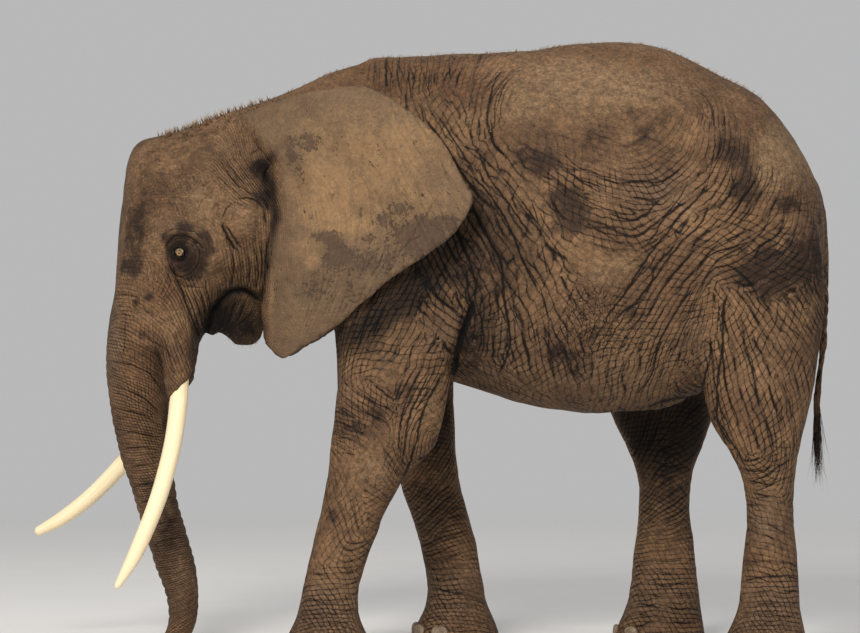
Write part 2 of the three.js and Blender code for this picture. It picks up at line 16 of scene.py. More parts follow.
import bmesh
import bpy
import numpy as np
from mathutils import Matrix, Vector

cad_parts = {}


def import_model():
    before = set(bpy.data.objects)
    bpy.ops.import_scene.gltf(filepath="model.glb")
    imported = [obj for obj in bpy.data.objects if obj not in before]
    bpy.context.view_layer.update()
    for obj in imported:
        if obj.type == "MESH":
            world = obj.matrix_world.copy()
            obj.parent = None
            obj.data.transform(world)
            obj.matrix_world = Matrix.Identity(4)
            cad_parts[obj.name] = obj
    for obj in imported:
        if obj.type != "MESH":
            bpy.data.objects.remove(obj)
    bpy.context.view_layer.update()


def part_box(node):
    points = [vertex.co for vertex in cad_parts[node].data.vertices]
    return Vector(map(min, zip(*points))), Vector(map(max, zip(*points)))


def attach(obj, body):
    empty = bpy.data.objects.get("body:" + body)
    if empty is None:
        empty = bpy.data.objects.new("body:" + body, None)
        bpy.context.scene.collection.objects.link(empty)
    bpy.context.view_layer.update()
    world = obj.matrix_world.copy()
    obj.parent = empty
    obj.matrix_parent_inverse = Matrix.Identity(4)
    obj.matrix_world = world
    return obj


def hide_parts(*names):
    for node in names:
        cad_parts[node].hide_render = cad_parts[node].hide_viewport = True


Array = np.ndarray
Colour = tuple[float, float, float, float]
LOG = logging.getLogger("elephant")
METRE = 1000.0
EYE = np.array([-1037.0, 262.0, 1665.0])  # an eyeball's middle, with Y as the distance from hers
EYE_RADIUS = 25.5
LID_DOME = 31.5  # the radius of the lids' dome round an eyeball
LID_SLANT = 0.16  # how much the slit of the lids falls to the rear
VIEW_DISTANCE = 14000.0
VIEW_HEIGHT = 1402.0
CHANNELS = 6  # the sets of attributes that the folds are stored in
CREASE_GAP = 0.17  # from one fine crease round an eye to the next, in rings
DEEP_PITCH = 2.3  # the spacing of the deep wrinkles, in that of the main ones
OVER_PITCH = 1.15  # the same for the wrinkles that cross them


class Side(Enum):
    """A side of the animal, as the sign of Y."""

    LEFT = -1
    RIGHT = 1


def table(rows: str) -> Array:
    """Reads rows of numbers that are parted by commas."""
    return np.array([row.split() for row in rows.split(",")], float)


# ------------------------------------------------------------------ the body's stations

# x, top, widest level, bottom, half width, roundness of the upper half
TORSO = table("""
    -430 2080 1730 1440 150 2, -385 2330 1730 1290 255 2, -290 2474 1710 1200 335 1.9,
    -120 2505 1680 1150 400 1.9, 110 2510 1640 1124 462 1.95, 350 2522 1600 1041 540 1.95,
    610 2549 1570 1000 585 1.95, 810 2567 1580 1000 572 1.95, 1010 2522 1640 1024 535 2,
    1210 2432 1690 1110 496 2.1, 1400 2315 1710 1230 446 2.2, 1502 2199 1710 1320 388 2.3,
    1585 2070 1700 1410 302 2.3, 1636 1938 1690 1505 200 2.2, 1655 1815 1690 1585 95 2
""")
CROWN = table("""
    -1292 1960 1760 1560 95 2, -1274 2070 1760 1500 165 2, -1230 2136 1780 1470 212 2.2,
    -1150 2160 1800 1460 248 2.6, -1000 2208 1810 1460 270 2.3, -850 2264 1820 1480 282 2.2,
    -700 2320 1830 1480 288 2.1, -550 2372 1810 1430 302 2, -400 2440 1780 1370 330 1.9,
    -230 2484 1750 1350 330 1.9
""")
# level, front, rear, offset, half width
FACE = table("""
    1990 -1245 -900 0 160, 1890 -1297 -860 0 228, 1768 -1312 -830 0 266, 1640 -1323 -800 0 274,
    1560 -1330 -795 0 262, 1500 -1336 -838 0 244, 1437 -1345 -893 0 226, 1387 -1353 -920 0 214,
    1330 -1360 -948 0 200, 1275 -1362 -985 0 180
""")
JAW = table("""
    1600 -940 -680 0 186, 1520 -940 -680 0 172, 1430 -942 -682 0 146, 1370 -936 -696 0 116,
    1338 -893 -706 0 88, 1308 -852 -716 0 62, 1280 -828 -748 0 32
""")
# x, z, offset, half width, half depth
TRUNK = table("""
    -1190 1480 0 190 130, -1222 1330 0 172 138, -1232 1180 0 146 137, -1228 1040 0 126 127,
    -1212 870 0 110 106, -1180 710 0 98 94, -1136 540 0 88 87, -1086 381 0 80 81, -1050 240 0 71 70,
    -1046 130 0 64 60, -1066 62 0 60 52, -1090 30 0 55 44
""")
NOSTRIL = table("""
    -1062 130 24 10 14, -1074 70 25 15 18, -1104 8 25 17 21, -1118 -20 25 17 21
""")
TAIL = table("""
    1540 2020 0 58 56, 1614 1938 0 42 40, 1648 1800 3 34 31, 1660 1650 6 29 26, 1665 1450 9 24 20,
    1662 1270 11 20 17, 1646 1140 12 18 15, 1637 1030 12 16 14, 1635 940 12 14 11, 1638 880 12 8 7
""")
SHEATHS = {
    Side.LEFT: table("""
    -1130 1560 110 100 110, -1080 1390 146 84 90, -1054 1260 174 68 68, -1046 1140 196 51 49
"""),
    Side.RIGHT: table("""
    -1130 1560 110 100 110, -1080 1390 146 84 90, -1060 1260 174 68 68, -1064 1140 200 51 49
"""),
}
# x, z, offset, radius
TUSKS = {
    Side.LEFT: table("""
    -1036 1270 172 37, -1044 1150 195 38, -1048 1050 207 38, -1069 880 235 37, -1112 700 266 36,
    -1160 560 289 34, -1229 400 312 29, -1300 275 326 12
"""),
    Side.RIGHT: table("""
    -1036 1270 172 37, -1062 1150 197 38, -1112 1026 220 38, -1207 894 254 37, -1330 762 290 36,
    -1465 626 316 34, -1595 527 336 30, -1714 462 350 19
"""),
}
# the legs: level, front, rear, offset, half width
FORE_LEFT = table("""
    1900 -330 -20 238 70, 1780 -392 60 258 116, 1620 -416 130 276 140, 1400 -402 140 290 146,
    1180 -388 96 298 143, 1000 -392 56 298 137, 850 -409 12 294 128, 750 -421 -88 288 120,
    620 -450 -168 282 113, 460 -488 -235 275 109, 300 -522 -290 270 109, 170 -550 -296 270 124,
    90 -582 -266 270 152, 30 -606 -236 270 171, 0 -604 -238 270 170
""")
FORE_RIGHT = table("""
    1900 -310 0 238 70, 1780 -370 80 258 116, 1620 -380 140 276 140, 1400 -330 140 290 146,
    1120 -240 106 298 141, 900 -180 104 296 131, 740 -145 118 290 120, 590 -99 150 281 112,
    430 -44 198 273 110, 280 -12 226 268 111, 170 -16 244 268 124, 90 -46 278 268 152, 30 -72 298 268 171,
    0 -70 296 268 170
""")
HIND_LEFT = table("""
    2180 1100 1320 150 80, 1960 1000 1520 238 150, 1700 990 1626 282 178, 1440 1060 1634 300 184,
    1180 1128 1600 302 168, 1000 1152 1562 297 152, 850 1240 1528 288 132, 720 1298 1512 278 116,
    580 1316 1508 268 107, 400 1300 1524 260 108, 200 1282 1536 256 114, 100 1246 1556 256 131,
    30 1216 1568 256 148, 0 1217 1566 256 147
""")
HIND_RIGHT = table("""
    2180 1060 1280 150 80, 1960 930 1480 238 150, 1700 860 1540 282 178, 1440 800 1470 300 184,
    1180 762 1322 302 168, 1000 782 1238 297 152, 850 848 1174 288 132, 720 892 1128 278 117,
    560 900 1122 268 108, 380 881 1142 260 110, 200 858 1160 256 115, 100 826 1174 256 131,
    30 796 1184 256 148, 0 797 1182 256 147
""")
# rounded blocks: x, offset, z, three radii, turn
# the trunk's two fingers and the front of the jaw
MIDDLE_BLOCKS = table("""
    -1124 0 42 24 22 15 -38, -1066 0 22 14 26 18 20, -925 0 1410 70 112 92 28
""")
# the cleft of the mouth
CLEFT = table("-918 190 1372 20 120 128 29")
# the brow, the cheekbone and the knob of the jaw's joint
KNOBS = table("""
    -1055 208 1752 130 72 74 14, -915 212 1668 170 80 84 12, -775 250 1795 92 56 92 0
""")
# the left ear's edge: x, z
EAR_RIM = table("""
    -672 1850, -682 2010, -735 2125, -806 2232, -690 2284, -535 2328, -390 2349, -254 2347, -139 2284,
    41 2128, 123 1979, 174 1880, 149 1813, 82 1722, -123 1582, -262 1468, -402 1345, -549 1257, -618 1230,
    -674 1274, -703 1400, -688 1530, -676 1680
""")


@dataclass(frozen=True)
class Foot:
    """A leg's stations, and the nails round the front of its foot."""

    name: str
    side: Side
    stations: Array
    angles: tuple[int, ...]  # the nails' angles, in degrees from straight ahead
    nail: tuple[int, int, int, int]  # a nail's reach in depth, width and height, and its level

    def middle(self) -> Array:
        """Returns the X and Y of the foot's middle, in the lowest ring but one."""
        _, front, rear, out, _ = self.stations[-2]
        return np.array([(front + rear) / 2, self.side.value * out])

    def toe(self, degrees: float, share: float = 1.0) -> tuple[Array, Array]:
        """Finds a nail on the same ring.

        Args:
            degrees: Its angle from straight ahead.
            share: How much of the ring's reach it stands out by.

        Returns:
            The way out to it and its place, each as X and Y.
        """
        _, front, rear, _, half = self.stations[-2]
        angle = math.radians(degrees)
        way = np.array([-math.cos(angle), self.side.value * math.sin(angle)])
        return way, self.middle() + way * np.array([(rear - front) / 2, half]) * share


FEET = (
    Foot("nails_fore_left", Side.LEFT, FORE_LEFT, (-66, -28, 12, 50), (16, 41, 37, 44)),
    Foot("nails_fore_right", Side.RIGHT, FORE_RIGHT, (-66, -28, 12, 50), (16, 41, 37, 44)),
    Foot("nails_hind_left", Side.LEFT, HIND_LEFT, (-46, 0, 44), (15, 37, 34, 42)),
    Foot("nails_hind_right", Side.RIGHT, HIND_RIGHT, (-46, 0, 44), (15, 37, 34, 42)),
)

# ------------------------------------------------------------------ drawn on the side view

# folds and the ears' veins: kind, width, depth and the line's points, each x and z
FOLD_LINES = """
    gland 11 15 -884 1806 -871 1768 -846 1717 -812 1675,
    gland 7 9 -867 1793 -842 1751 -816 1713 -791 1683,
    gland 4 4 -863 1726 -838 1675 -829 1616 -825 1565,
    mouth 7 8 -1096 1633 -1074 1561 -1045 1497 -1024 1434 -994 1358 -969 1290,
    mouth 5 5 -1074 1552 -1041 1531 -990 1527 -943 1527,
    mouth 6 6 -981 1523 -964 1472 -952 1408 -956 1336,
    mouth 5 6 -1049 1527 -1011 1455 -986 1383 -973 1303,
    mouth 5 5 -1015 1523 -990 1472 -969 1404 -960 1345,
    mouth 4 4 -1074 1514 -1041 1446 -1015 1379 -986 1294,
    mouth 5 5 -952 1590 -948 1523 -931 1463 -935 1404,
    cheek 5 6 -838 1675 -829 1616 -838 1556 -850 1501,
    cheek 5 6 -791 1683 -761 1633 -766 1565 -778 1510,
    cheek 6 7 -753 1704 -732 1649 -728 1578 -736 1501,
    cheek 6 7 -723 1743 -711 1675 -711 1599 -723 1523,
    cheek 4 4 -804 1666 -791 1607 -804 1539 -812 1506,
    lip 12 20 -964 1277 -943 1345 -926 1408 -901 1451 -863 1493 -829 1510 -778 1510 -736 1484 -706 1459,
    jaw 6 7 -816 1476 -838 1421 -863 1353,
    jaw 5 6 -778 1476 -799 1417 -833 1353,
    jaw 5 5 -732 1434 -774 1396 -821 1358,
    jaw 5 6 -880 1446 -897 1387 -922 1332,
    jaw 5 5 -854 1463 -871 1396 -893 1341,
    knob 6 5 -842 1882 -867 1848 -880 1810,
    knob 7 7 -833 1895 -791 1903 -744 1895 -711 1861 -698 1810 -698 1751,
    knob 8 10 -736 1920 -698 1886 -677 1836 -673 1776 -685 1717 -694 1658 -694 1590,
    knob 9 12 -706 1946 -673 1903 -651 1848 -647 1785 -660 1713 -677 1633,
    fan 5 6 -901 2077 -867 2022 -821 1967 -774 1933 -728 1903,
    fan 5 5 -876 2085 -842 2030 -799 1979 -753 1941,
    fan 4 4 -846 2098 -812 2043 -774 1996 -732 1962,
    fan 4 4 -812 2106 -783 2056 -753 2013,
    fan 5 5 -931 2013 -880 1979 -838 1941 -795 1907,
    fan 9 14 -711 1962 -689 2022 -656 2081 -613 2140,
    fan 5 6 -778 2072 -736 2106 -689 2127 -643 2153,
    fan 6 8 -677 1946 -651 2013 -630 2072 -605 2115,
    brow 6 7 -1117 1675 -1108 1713 -1083 1738 -1041 1743 -998 1726 -964 1696 -931 1683,
    brow 5 4 -1142 1700 -1129 1743 -1096 1768 -1041 1772 -990 1755 -948 1721,
    bag 5 5 -1108 1633 -1091 1594 -1062 1569 -1028 1561 -994 1578,
    bag 4 3 -1125 1624 -1108 1573 -1079 1535,
    face 5 5 -1341 1497 -1299 1497 -1256 1489 -1222 1476,
    face 4 4 -1320 1607 -1277 1611 -1235 1603,
    face 4 4 -1180 1472 -1176 1400 -1167 1324,
    face 4 4 -1235 1463 -1184 1413 -1129 1387 -1074 1362,
    face 4 5 -1244 1362 -1184 1303 -1117 1260 -1058 1180,
    face 4 5 -1138 1345 -1117 1273 -1096 1197 -1083 1133,
    face 4 4 -1282 1438 -1290 1362 -1294 1277 -1303 1210,
    trunk 5 6 -1362 1214 -1303 1205 -1227 1184 -1167 1138 -1121 1057,
    trunk 5 6 -1362 1108 -1286 1091 -1201 1049 -1134 981,
    trunk 5 5 -1354 1353 -1303 1349 -1244 1328,
    trunk 5 6 -1349 1019 -1286 1006 -1201 977 -1142 930,
    trunk 5 6 -1332 922 -1261 913 -1184 897 -1142 880,
    trunk 5 6 -1316 842 -1244 846 -1176 842 -1142 829,
    trunk 5 5 -1294 761 -1227 770 -1159 774,
    trunk 5 6 -1269 677 -1201 693 -1142 702 -1100 693,
    trunk 5 5 -1248 605 -1176 626 -1091 634,
    trunk 5 6 -1214 495 -1142 524 -1074 533 -1045 520,
    trunk 5 5 -1193 423 -1125 452 -1058 465 -1024 452,
    neck 8 8 -186 2487 -186 2419 -178 2352,
    neck 6 6 -140 2487 -135 2411 -118 2326,
    neck 6 6 -93 2487 -89 2402 -76 2301,
    neck 6 7 85 2495 80 2445 93 2402,
    neck 6 6 -17 2479 0 2428 -8 2360 25 2292,
    neck 12 14 -25 2242 34 2166 85 2089 135 2005 186 1937 237 1878,
    neck 7 7 25 2267 85 2174 144 2081 203 1988,
    side 7 7 305 2453 271 2385 254 2318 245 2242 254 2174 279 2106,
    side 5 5 347 2436 309 2369 288 2301 271 2233,
    side 9 9 161 2013 237 1937 296 1852 343 1768 376 1683 415 1590 465 1506,
    side 8 8 203 2098 237 2013 288 1937 347 1861 398 1785 448 1726,
    side 9 10 169 1895 207 1802 254 1717 296 1641 309 1565 313 1480 330 1387 338 1294 321 1218 283 1142,
    side 7 7 135 1844 203 1751 254 1658 288 1573,
    side 7 7 271 2030 338 1954 398 1878 457 1793 508 1726 550 1666 575 1607 626 1565,
    side 6 6 423 1912 448 1836 465 1743 486 1641 503 1531,
    side 7 7 309 1573 355 1506 406 1438 436 1353 453 1260,
    side 6 6 364 1683 415 1599 465 1523 495 1421 503 1320 499 1210,
    side 6 6 317 1514 347 1429 381 1345 410 1260 423 1167,
    side 5 5 482 1996 508 1929 525 1861 558 1785 567 1700,
    side 5 5 550 2106 635 2030 736 1996 846 1971 931 1962,
    side 5 5 533 2072 609 1996 702 1937 821 1895 931 1878,
    side 5 5 575 1962 660 1895 761 1852 888 1827,
    side 5 5 601 1852 677 1793 753 1743 838 1700 888 1709,
    side 8 9 812 1480 871 1573 939 1675 1007 1759 1074 1844 1142 1912 1176 1988,
    side 7 7 719 1362 795 1463 863 1548 922 1633,
    side 7 8 863 1446 931 1539 998 1633 1074 1726 1151 1802 1184 1886,
    side 6 7 888 1675 948 1743 990 1819 1058 1903 1100 1979,
    side 6 6 804 1277 888 1387 964 1489 1041 1590 1117 1675 1193 1734,
    side 7 8 1117 1548 1142 1616 1193 1666 1269 1692 1354 1717 1413 1768 1447 1852,
    side 7 7 1142 1489 1167 1565 1210 1607 1261 1616 1311 1590 1362 1531 1396 1463,
    side 6 6 914 1150 956 1260 1007 1362 1066 1455 1108 1539,
    side 6 6 1024 1218 1058 1320 1108 1421 1151 1506,
    side 5 5 1193 2123 1197 2056 1176 1979 1167 1895,
    side 5 5 1277 2106 1265 2022 1218 1946 1176 1869,
    side 5 5 1362 2056 1354 1971 1311 1895 1244 1827 1167 1768,
    side 5 5 1100 2369 1155 2343 1189 2292 1193 2225 1167 2157,
    armpit 12 14 93 1802 135 1709 169 1624 195 1539 186 1472,
    armpit 20 34 186 1480 161 1396 131 1311 110 1226 97 1133,
    armpit 7 8 237 1514 212 1446 220 1362 228 1277 203 1210,
    groin 10 10 1261 1506 1239 1421 1239 1328 1235 1235 1218 1142 1214 1049 1214 973 1244 905 1286 846,
    groin 8 9 1189 1320 1189 1235 1167 1159 1151 1083 1167 1032,
    groin 10 14 914 1015 973 1040 1049 1057 1117 1057 1159 1019 1180 973,
    elbow 9 10 59 1184 25 1108 -8 1049 -38 964 -55 880 -85 787,
    elbow 8 8 8 1184 -42 1083 -85 981 -106 880 -118 770,
    elbow 7 7 -25 1193 -76 1100 -114 1006 -127 922 -135 812,
    elbow 6 6 -59 1193 -110 1100 -144 1032,
    elbow 8 10 47 871 17 829 -25 808 -68 787,
    elbow 9 12 -55 888 -72 812 -106 736 -131 685,
    elbow 5 3 -245 922 -195 846 -152 770 -118 702,
    elbow 5 3 -296 1167 -245 1125 -178 1091 -110 1066,
    knee 5 6 -406 888 -355 888 -305 871,
    knee 5 5 -410 816 -364 825 -305 812,
    knee 5 6 -372 457 -330 440 -271 448 -228 474,
    hock 6 8 1345 698 1396 715 1455 753 1514 787 1552 803,
    hock 5 6 1354 660 1421 677 1481 710 1540 727,
    hock 7 8 1210 981 1261 897 1311 812 1354 727,
    hock 5 6 1447 854 1497 846 1548 850,
    hock 5 5 1362 634 1430 638 1497 638,
    vein 6 2.4 17 1912 0 1852 -42 1802 -76 1743 -110 1692 -152 1649,
    vein 6 2.4 -42 1836 -93 1793 -135 1768,
    vein 6 2.4 0 1802 42 1768 68 1743,
    vein 6 2.4 -169 1649 -144 1624 -118 1607,
    vein 6 2.4 -110 1717 -59 1734 -25 1759
"""
# the wrinkles' lie: x, z, angle, pitch, and the strength of the lines, of the cross lines and of the cells
LIE_NEAR = table("""
    -148 2445 88 29 0.5 0.2 0, 0 2424 85 29 0.6 0.3 0, 127 2445 75 29 0.6 0.3 0, 42 2275 -60 33 0.6 0.5 0,
    296 2402 62 29 0.6 0.2 0, 233 2233 85 33 0.7 0.3 0, 465 2424 30 33 0.15 0.1 0, 719 2487 5 33 0.12 0.1 0,
    550 2275 20 37 0.12 0.1 0, 804 2360 10 37 0.1 0.1 0, 973 2402 -10 33 0.12 0.1 0,
    1142 2360 -45 29 0.3 0.1 0, 1193 2233 -88 25 0.6 0.1 0, 1100 2212 65 25 0.5 0.1 0,
    931 2191 45 33 0.3 0.3 0, 719 2106 -20 29 0.4 0.3 0, 550 2106 -28 33 0.4 0.4 0,
    381 2191 -40 37 0.3 0.2 0, 169 2064 -55 37 0.9 0.3 0, 296 2022 -50 41 0.9 0.3 0,
    254 1852 -55 41 1 0.3 0, 423 1937 -48 41 0.9 0.4 0, 423 1810 -52 45 1 0.4 0, 550 1937 -38 33 0.8 0.6 0,
    719 1937 -20 25 0.8 0.6 0, 888 1937 -6 25 0.7 0.6 0, 1015 1979 35 29 0.7 0.4 0, 1142 1937 48 41 1 0.4 0,
    1269 2064 72 25 0.9 0.2 0, 1375 2064 80 25 0.5 0.2 0, 1481 2149 -60 29 0.1 0.1 0,
    1396 2275 -45 29 0.1 0.1 0, 1565 2022 -70 29 0.12 0.1 0, 1311 1895 58 29 0.9 0.3 0,
    1438 1895 65 29 0.6 0.3 0, 1565 1810 75 25 0.5 0.6 0, 1658 1683 85 25 0.6 0.7 0,
    719 1789 -14 33 0.8 0.6 0, 846 1700 -5 33 0.6 0.5 0, 931 1747 38 37 1 0.4 0, 1100 1789 43 37 1 0.4 0,
    1269 1747 30 29 0.9 0.5 0, 1396 1747 35 25 0.9 0.8 0, 1523 1641 38 20 0.9 1 0, 1438 1535 35 20 1 1 0,
    1290 1599 20 25 0.9 0.9 0, 677 1641 -30 37 0.3 0.2 0, 804 1590 50 37 0.4 0.2 0, 973 1599 50 33 1 0.4 0,
    1142 1620 48 29 1 0.5 0, 465 1641 -62 41 1 0.4 0, 317 1641 -60 37 1 0.4 0, 212 1683 -58 29 0.9 0.5 0,
    381 1472 -72 37 1 0.4 0, 508 1472 -65 37 0.9 0.5 0.2, 635 1429 -50 33 0.5 0.6 1,
    719 1345 60 33 0.4 0.5 1, 592 1260 -65 29 0.7 0.7 0.7, 846 1429 52 33 0.9 0.5 0.5,
    973 1429 56 29 1 0.5 0, 1100 1429 64 25 1 0.6 0, 1184 1429 80 25 1 0.6 0, 296 1345 88 29 0.9 0.6 0,
    233 1281 78 29 0.9 0.7 0, 423 1260 -76 33 0.8 0.6 0.2, 550 1112 -78 33 0.6 0.5 0,
    719 1112 88 33 0.7 0.5 0, 888 1155 76 29 0.9 0.4 0, 1015 1176 72 29 0.9 0.6 0.2,
    1100 1116 -60 29 0.6 0.8 0.6, 254 1150 -15 25 0.6 0.8 0, 550 1028 0 33 0.4 0.6 0,
    888 1049 85 29 0.8 0.3 0, 1269 1472 -52 20 0.9 0.9 0, 1396 1429 -55 25 0.9 0.8 0,
    1311 1303 -72 25 1 0.6 0, 1438 1260 -60 29 0.8 0.7 0, 1523 1366 -48 25 0.8 0.9 0,
    1616 1429 -50 20 0.8 0.9 0, 1565 1218 -60 29 0.5 0.7 0, 1269 1133 -82 29 1 0.4 0,
    1375 1133 -70 33 1 0.4 0, 1481 1049 -65 29 0.8 0.6 0, 1332 964 -70 37 0.6 0.4 0,
    1459 922 -75 29 0.8 0.8 0, 1565 1049 -80 29 0.5 0.5 0, -127 1514 60 20 0.9 0.9 0,
    42 1556 -60 25 0.9 0.9 0, 42 1387 -38 25 1 0.9 0, 106 1281 -42 25 1 0.8 0, -212 1387 62 20 0.9 0.8 0,
    -296 1260 65 20 0.9 0.7 0, -127 1303 58 20 0.9 0.9 0, 0 1260 60 20 1 0.9 0, -42 1133 62 20 1 0.8 0,
    -360 1176 85 20 0.6 0.5 0, -169 1176 50 33 0.3 0.4 0, -338 1049 -30 25 0.7 0.8 0,
    -212 1049 -35 20 0.9 0.8 0, -85 1049 68 20 1 0.4 0, 8 1006 5 33 0.4 0.3 0, -360 922 -12 20 0.7 0.5 0,
    -212 880 -50 33 0.3 0.3 0, -106 880 76 20 1 0.2 0, -296 753 -60 37 0.2 0.3 0, -148 753 -60 20 0.6 0.4 0,
    -402 626 -75 29 0.4 0.4 0, -212 626 25 25 0.5 0.6 0, -338 499 -70 25 0.5 0.5 0,
    -275 435 15 25 0.6 0.6 0, -465 457 -70 33 0.3 0.4 0, -423 245 2 25 0.7 0.7 0.2,
    -423 97 0 20 0.5 0.6 0.6, 1235 880 -50 25 0.9 0.5 0, 1502 871 -80 25 0.9 0.9 0, 1523 795 85 20 0.9 1 0,
    1404 732 22 25 0.9 0.7 0, 1383 660 8 20 0.9 0.9 0, 1502 710 75 25 0.7 0.9 0, 1438 583 -15 29 0.5 0.5 0,
    1417 499 -25 29 0.7 0.3 0, 1481 435 -20 29 0.5 0.4 0, 1354 435 5 29 0.5 0.5 0,
    1438 245 0 25 0.7 0.6 0.2, 1438 97 0 20 0.5 0.6 0.6, -1142 2106 40 25 0.15 0.2 0.1,
    -973 2106 -20 25 0.1 0.1 0.1, -1058 1979 0 20 0.15 0.2 0.3, -846 2043 -50 16 0.8 0.2 0,
    -783 1958 -48 16 0.9 0.2 0, -804 2106 -80 16 0.5 0.2 0, -931 1895 -30 25 0.12 0.1 0.1,
    -783 1802 0 25 0.08 0.1 0.1, -677 1768 -88 16 0.9 0.3 0, -804 1620 -86 20 0.8 0.3 0,
    -736 1620 -88 20 0.9 0.2 0, -909 1620 -80 29 0.25 0.3 0, -1036 1472 -68 20 0.9 0.4 0,
    -973 1408 -75 20 1 0.3 0, -1108 1514 -60 25 0.4 0.4 0.2, -1184 1514 -30 29 0.25 0.3 0.2,
    -1269 1599 0 25 0.35 0.4 0.1, -1248 1768 85 25 0.15 0.2 0.2, -804 1429 65 16 0.9 0.5 0,
    -761 1366 40 16 0.7 0.5 0, -888 1421 75 16 0.8 0.3 0, -1058 1675 10 16 0.3 0.3 0,
    -550 2233 -30 25 0.2 0.2 0, -381 2318 -10 29 0.2 0.2 0, -1332 1429 0 25 0.6 0.4 0.1,
    -1332 1260 -2 25 0.7 0.4 0, -1184 1387 -40 25 0.5 0.4 0, -1184 1281 -35 25 0.6 0.4 0,
    -1100 1260 -70 25 0.7 0.3 0, -1248 1112 -22 20 0.8 0.5 0, -1345 1049 -5 20 0.9 0.4 0,
    -1142 1049 -45 20 0.8 0.4 0, -1184 922 -10 18 0.9 0.6 0, -1290 880 2 20 0.9 0.5 0,
    -1227 753 8 18 0.9 0.6 0, -1121 626 12 16 0.9 0.5 0, -1184 541 16 16 1 0.5 0, -1066 435 15 16 1 0.5 0,
    -1036 203 22 16 1 0.4 0, -1079 34 30 14 1 0.4 0
""")
# the same for the right legs
LIE_FAR = table("""
    42 964 -50 20 0.5 0.5 0, 42 753 -52 20 0.8 0.4 0, 0 541 -45 20 0.8 0.4 0, 148 457 -15 20 0.8 0.6 0,
    85 245 0 25 0.7 0.6 0.2, 85 97 0 20 0.5 0.6 0.6, 867 922 -80 20 0.8 0.7 0, 973 753 -60 25 0.5 0.6 0,
    931 583 -35 20 0.8 0.5 0, 1058 753 -15 25 0.7 0.6 0, 931 414 -5 20 0.7 0.6 0, 1015 203 0 25 0.7 0.5 0.3
""")
# soft ovals: x, z, two radii, turn, amount
STAINS = table("""
    460 2048 100 64 -20 0.8, 530 2062 51 42 0 0.5, 560 1905 90 70 0 0.65, 620 1838 125 72 -35 0.75,
    560 1776 70 60 0 0.6, 677 2144 68 47 20 0.5, 863 2267 68 25 15 0.5, 952 2212 102 51 40 0.5,
    888 2140 85 38 35 0.4, 1273 2098 90 70 0 0.7, 1328 1988 70 110 -15 0.75, 1366 1912 44 60 0 0.6,
    1506 1878 60 44 0 0.7, 1447 1607 186 110 12 0.9, 1590 1633 76 186 0 0.6, 1438 1506 127 51 20 0.5,
    1650 1747 34 135 0 0.6, 677 1320 51 34 0 0.6, 846 1413 38 34 0 0.6, 558 1235 102 63 -10 0.55,
    626 1167 59 42 0 0.4, 635 1616 47 59 -30 0.35, -148 1100 110 51 -25 0.55, -330 947 85 68 -20 0.5,
    -228 990 42 68 30 0.5, -406 554 34 55 10 0.6, -355 435 51 42 0 0.3, 178 1590 93 93 0 0.5,
    68 1506 127 85 0 0.35, -21 1599 102 59 0 0.4, 161 1281 42 144 10 0.8, 888 562 42 42 0 0.2,
    1007 520 34 51 0 0.5, 1142 753 85 127 0 0.3, -1250 1726 48 150 0 0.75, -1189 1489 25 25 0 0.8,
    -1045 1649 72 85 0 0.7, -730 2022 60 60 0 0.7, -700 1930 50 90 0 0.8, -1184 2085 42 51 0 0.35,
    -1210 1937 25 51 0 0.35, -1244 1463 17 17 0 0.6, -1328 1404 13 21 0 0.6, -1074 1320 13 25 0 0.5,
    -1222 1320 13 25 0 0.4, -1332 1155 13 21 0 0.4, -821 1362 110 59 0 0.6, -880 1396 51 59 30 0.7,
    -956 2170 59 25 0 0.4, -783 2208 85 34 0 0.3, -838 1971 68 30 -35 0.35, 1320 1548 59 34 0 0.3,
    1142 1070 34 42 0 0.4, -1159 600 127 200 0 0.38, -1184 880 68 127 0 0.25, -1034 1779 52 26 0 0.75,
    -1080 1741 62 20 0 0.85, -1118 1722 20 30 0 0.7, -949 1727 32 46 0 0.95, -939 1679 38 22 20 0.9,
    -985 1637 40 66 10 0.8, -1000 1600 60 50 0 0.6, -1100 1650 34 70 0 0.5, -1282 1606 70 36 0 0.75,
    -1215 1830 34 80 -10 0.45
""")
DUST = table("""
    719 2369 402 127 0 0.8, 1500 2090 150 230 -50 0.9, 381 2284 110 93 0 0.6, 761 1607 144 68 20 0.5,
    -245 732 110 102 0 0.5, 17 998 38 135 15 0.5, -973 1895 135 102 0 0.5, -783 1802 76 76 0 0.4,
    -952 2001 93 51 0 0.3, -1142 1578 76 59 0 0.4, -1100 1387 85 85 0 0.35, 1142 1345 85 127 0 0.2,
    -148 1197 76 59 0 0.35, 296 1895 93 127 -50 0.3, 888 2572 254 42 0 0.4, 1396 1218 102 127 0 0.35,
    -846 2106 118 59 0 0.35, 1417 1366 106 59 0 0.2, 550 2445 169 68 0 0.4
""")
ASH = table("""
    973 1916 212 106 0 0.5, -1345 1260 42 186 0 0.7, -1337 1429 34 85 0 0.4, 1417 541 93 110 0 0.6,
    63 478 76 85 0 0.6, 296 1260 144 152 0 0.45, -423 160 254 127 0 0.5, 1438 160 212 127 0 0.5,
    106 160 254 127 0 0.5, 1015 160 212 127 0 0.5, 719 1133 254 110 0 0.4, -1058 1776 110 51 0 0.4,
    42 1324 85 102 0 0.35, -1100 457 130 300 0 0.6, 1100 1260 110 127 0 0.3, -360 1091 51 102 0 0.35,
    994 435 34 76 0 0.3, -1277 1958 34 169 0 0.35
""")
EAR_DARK = table("""
    -516 2144 59 38 0 0.5, -550 2013 30 51 0 0.35, -440 1743 63 21 0 0.85, -406 1709 42 25 0 0.7,
    -431 1633 42 25 0 0.6, -262 1734 34 17 0 0.75, -195 1810 42 34 20 0.6, -127 1861 59 30 0 0.6,
    -25 1743 144 85 10 0.75, -245 1633 127 59 0 0.5, -381 1662 59 38 0 0.5, -423 1514 186 102 0 0.2,
    -592 2098 34 59 0 0.45
""")
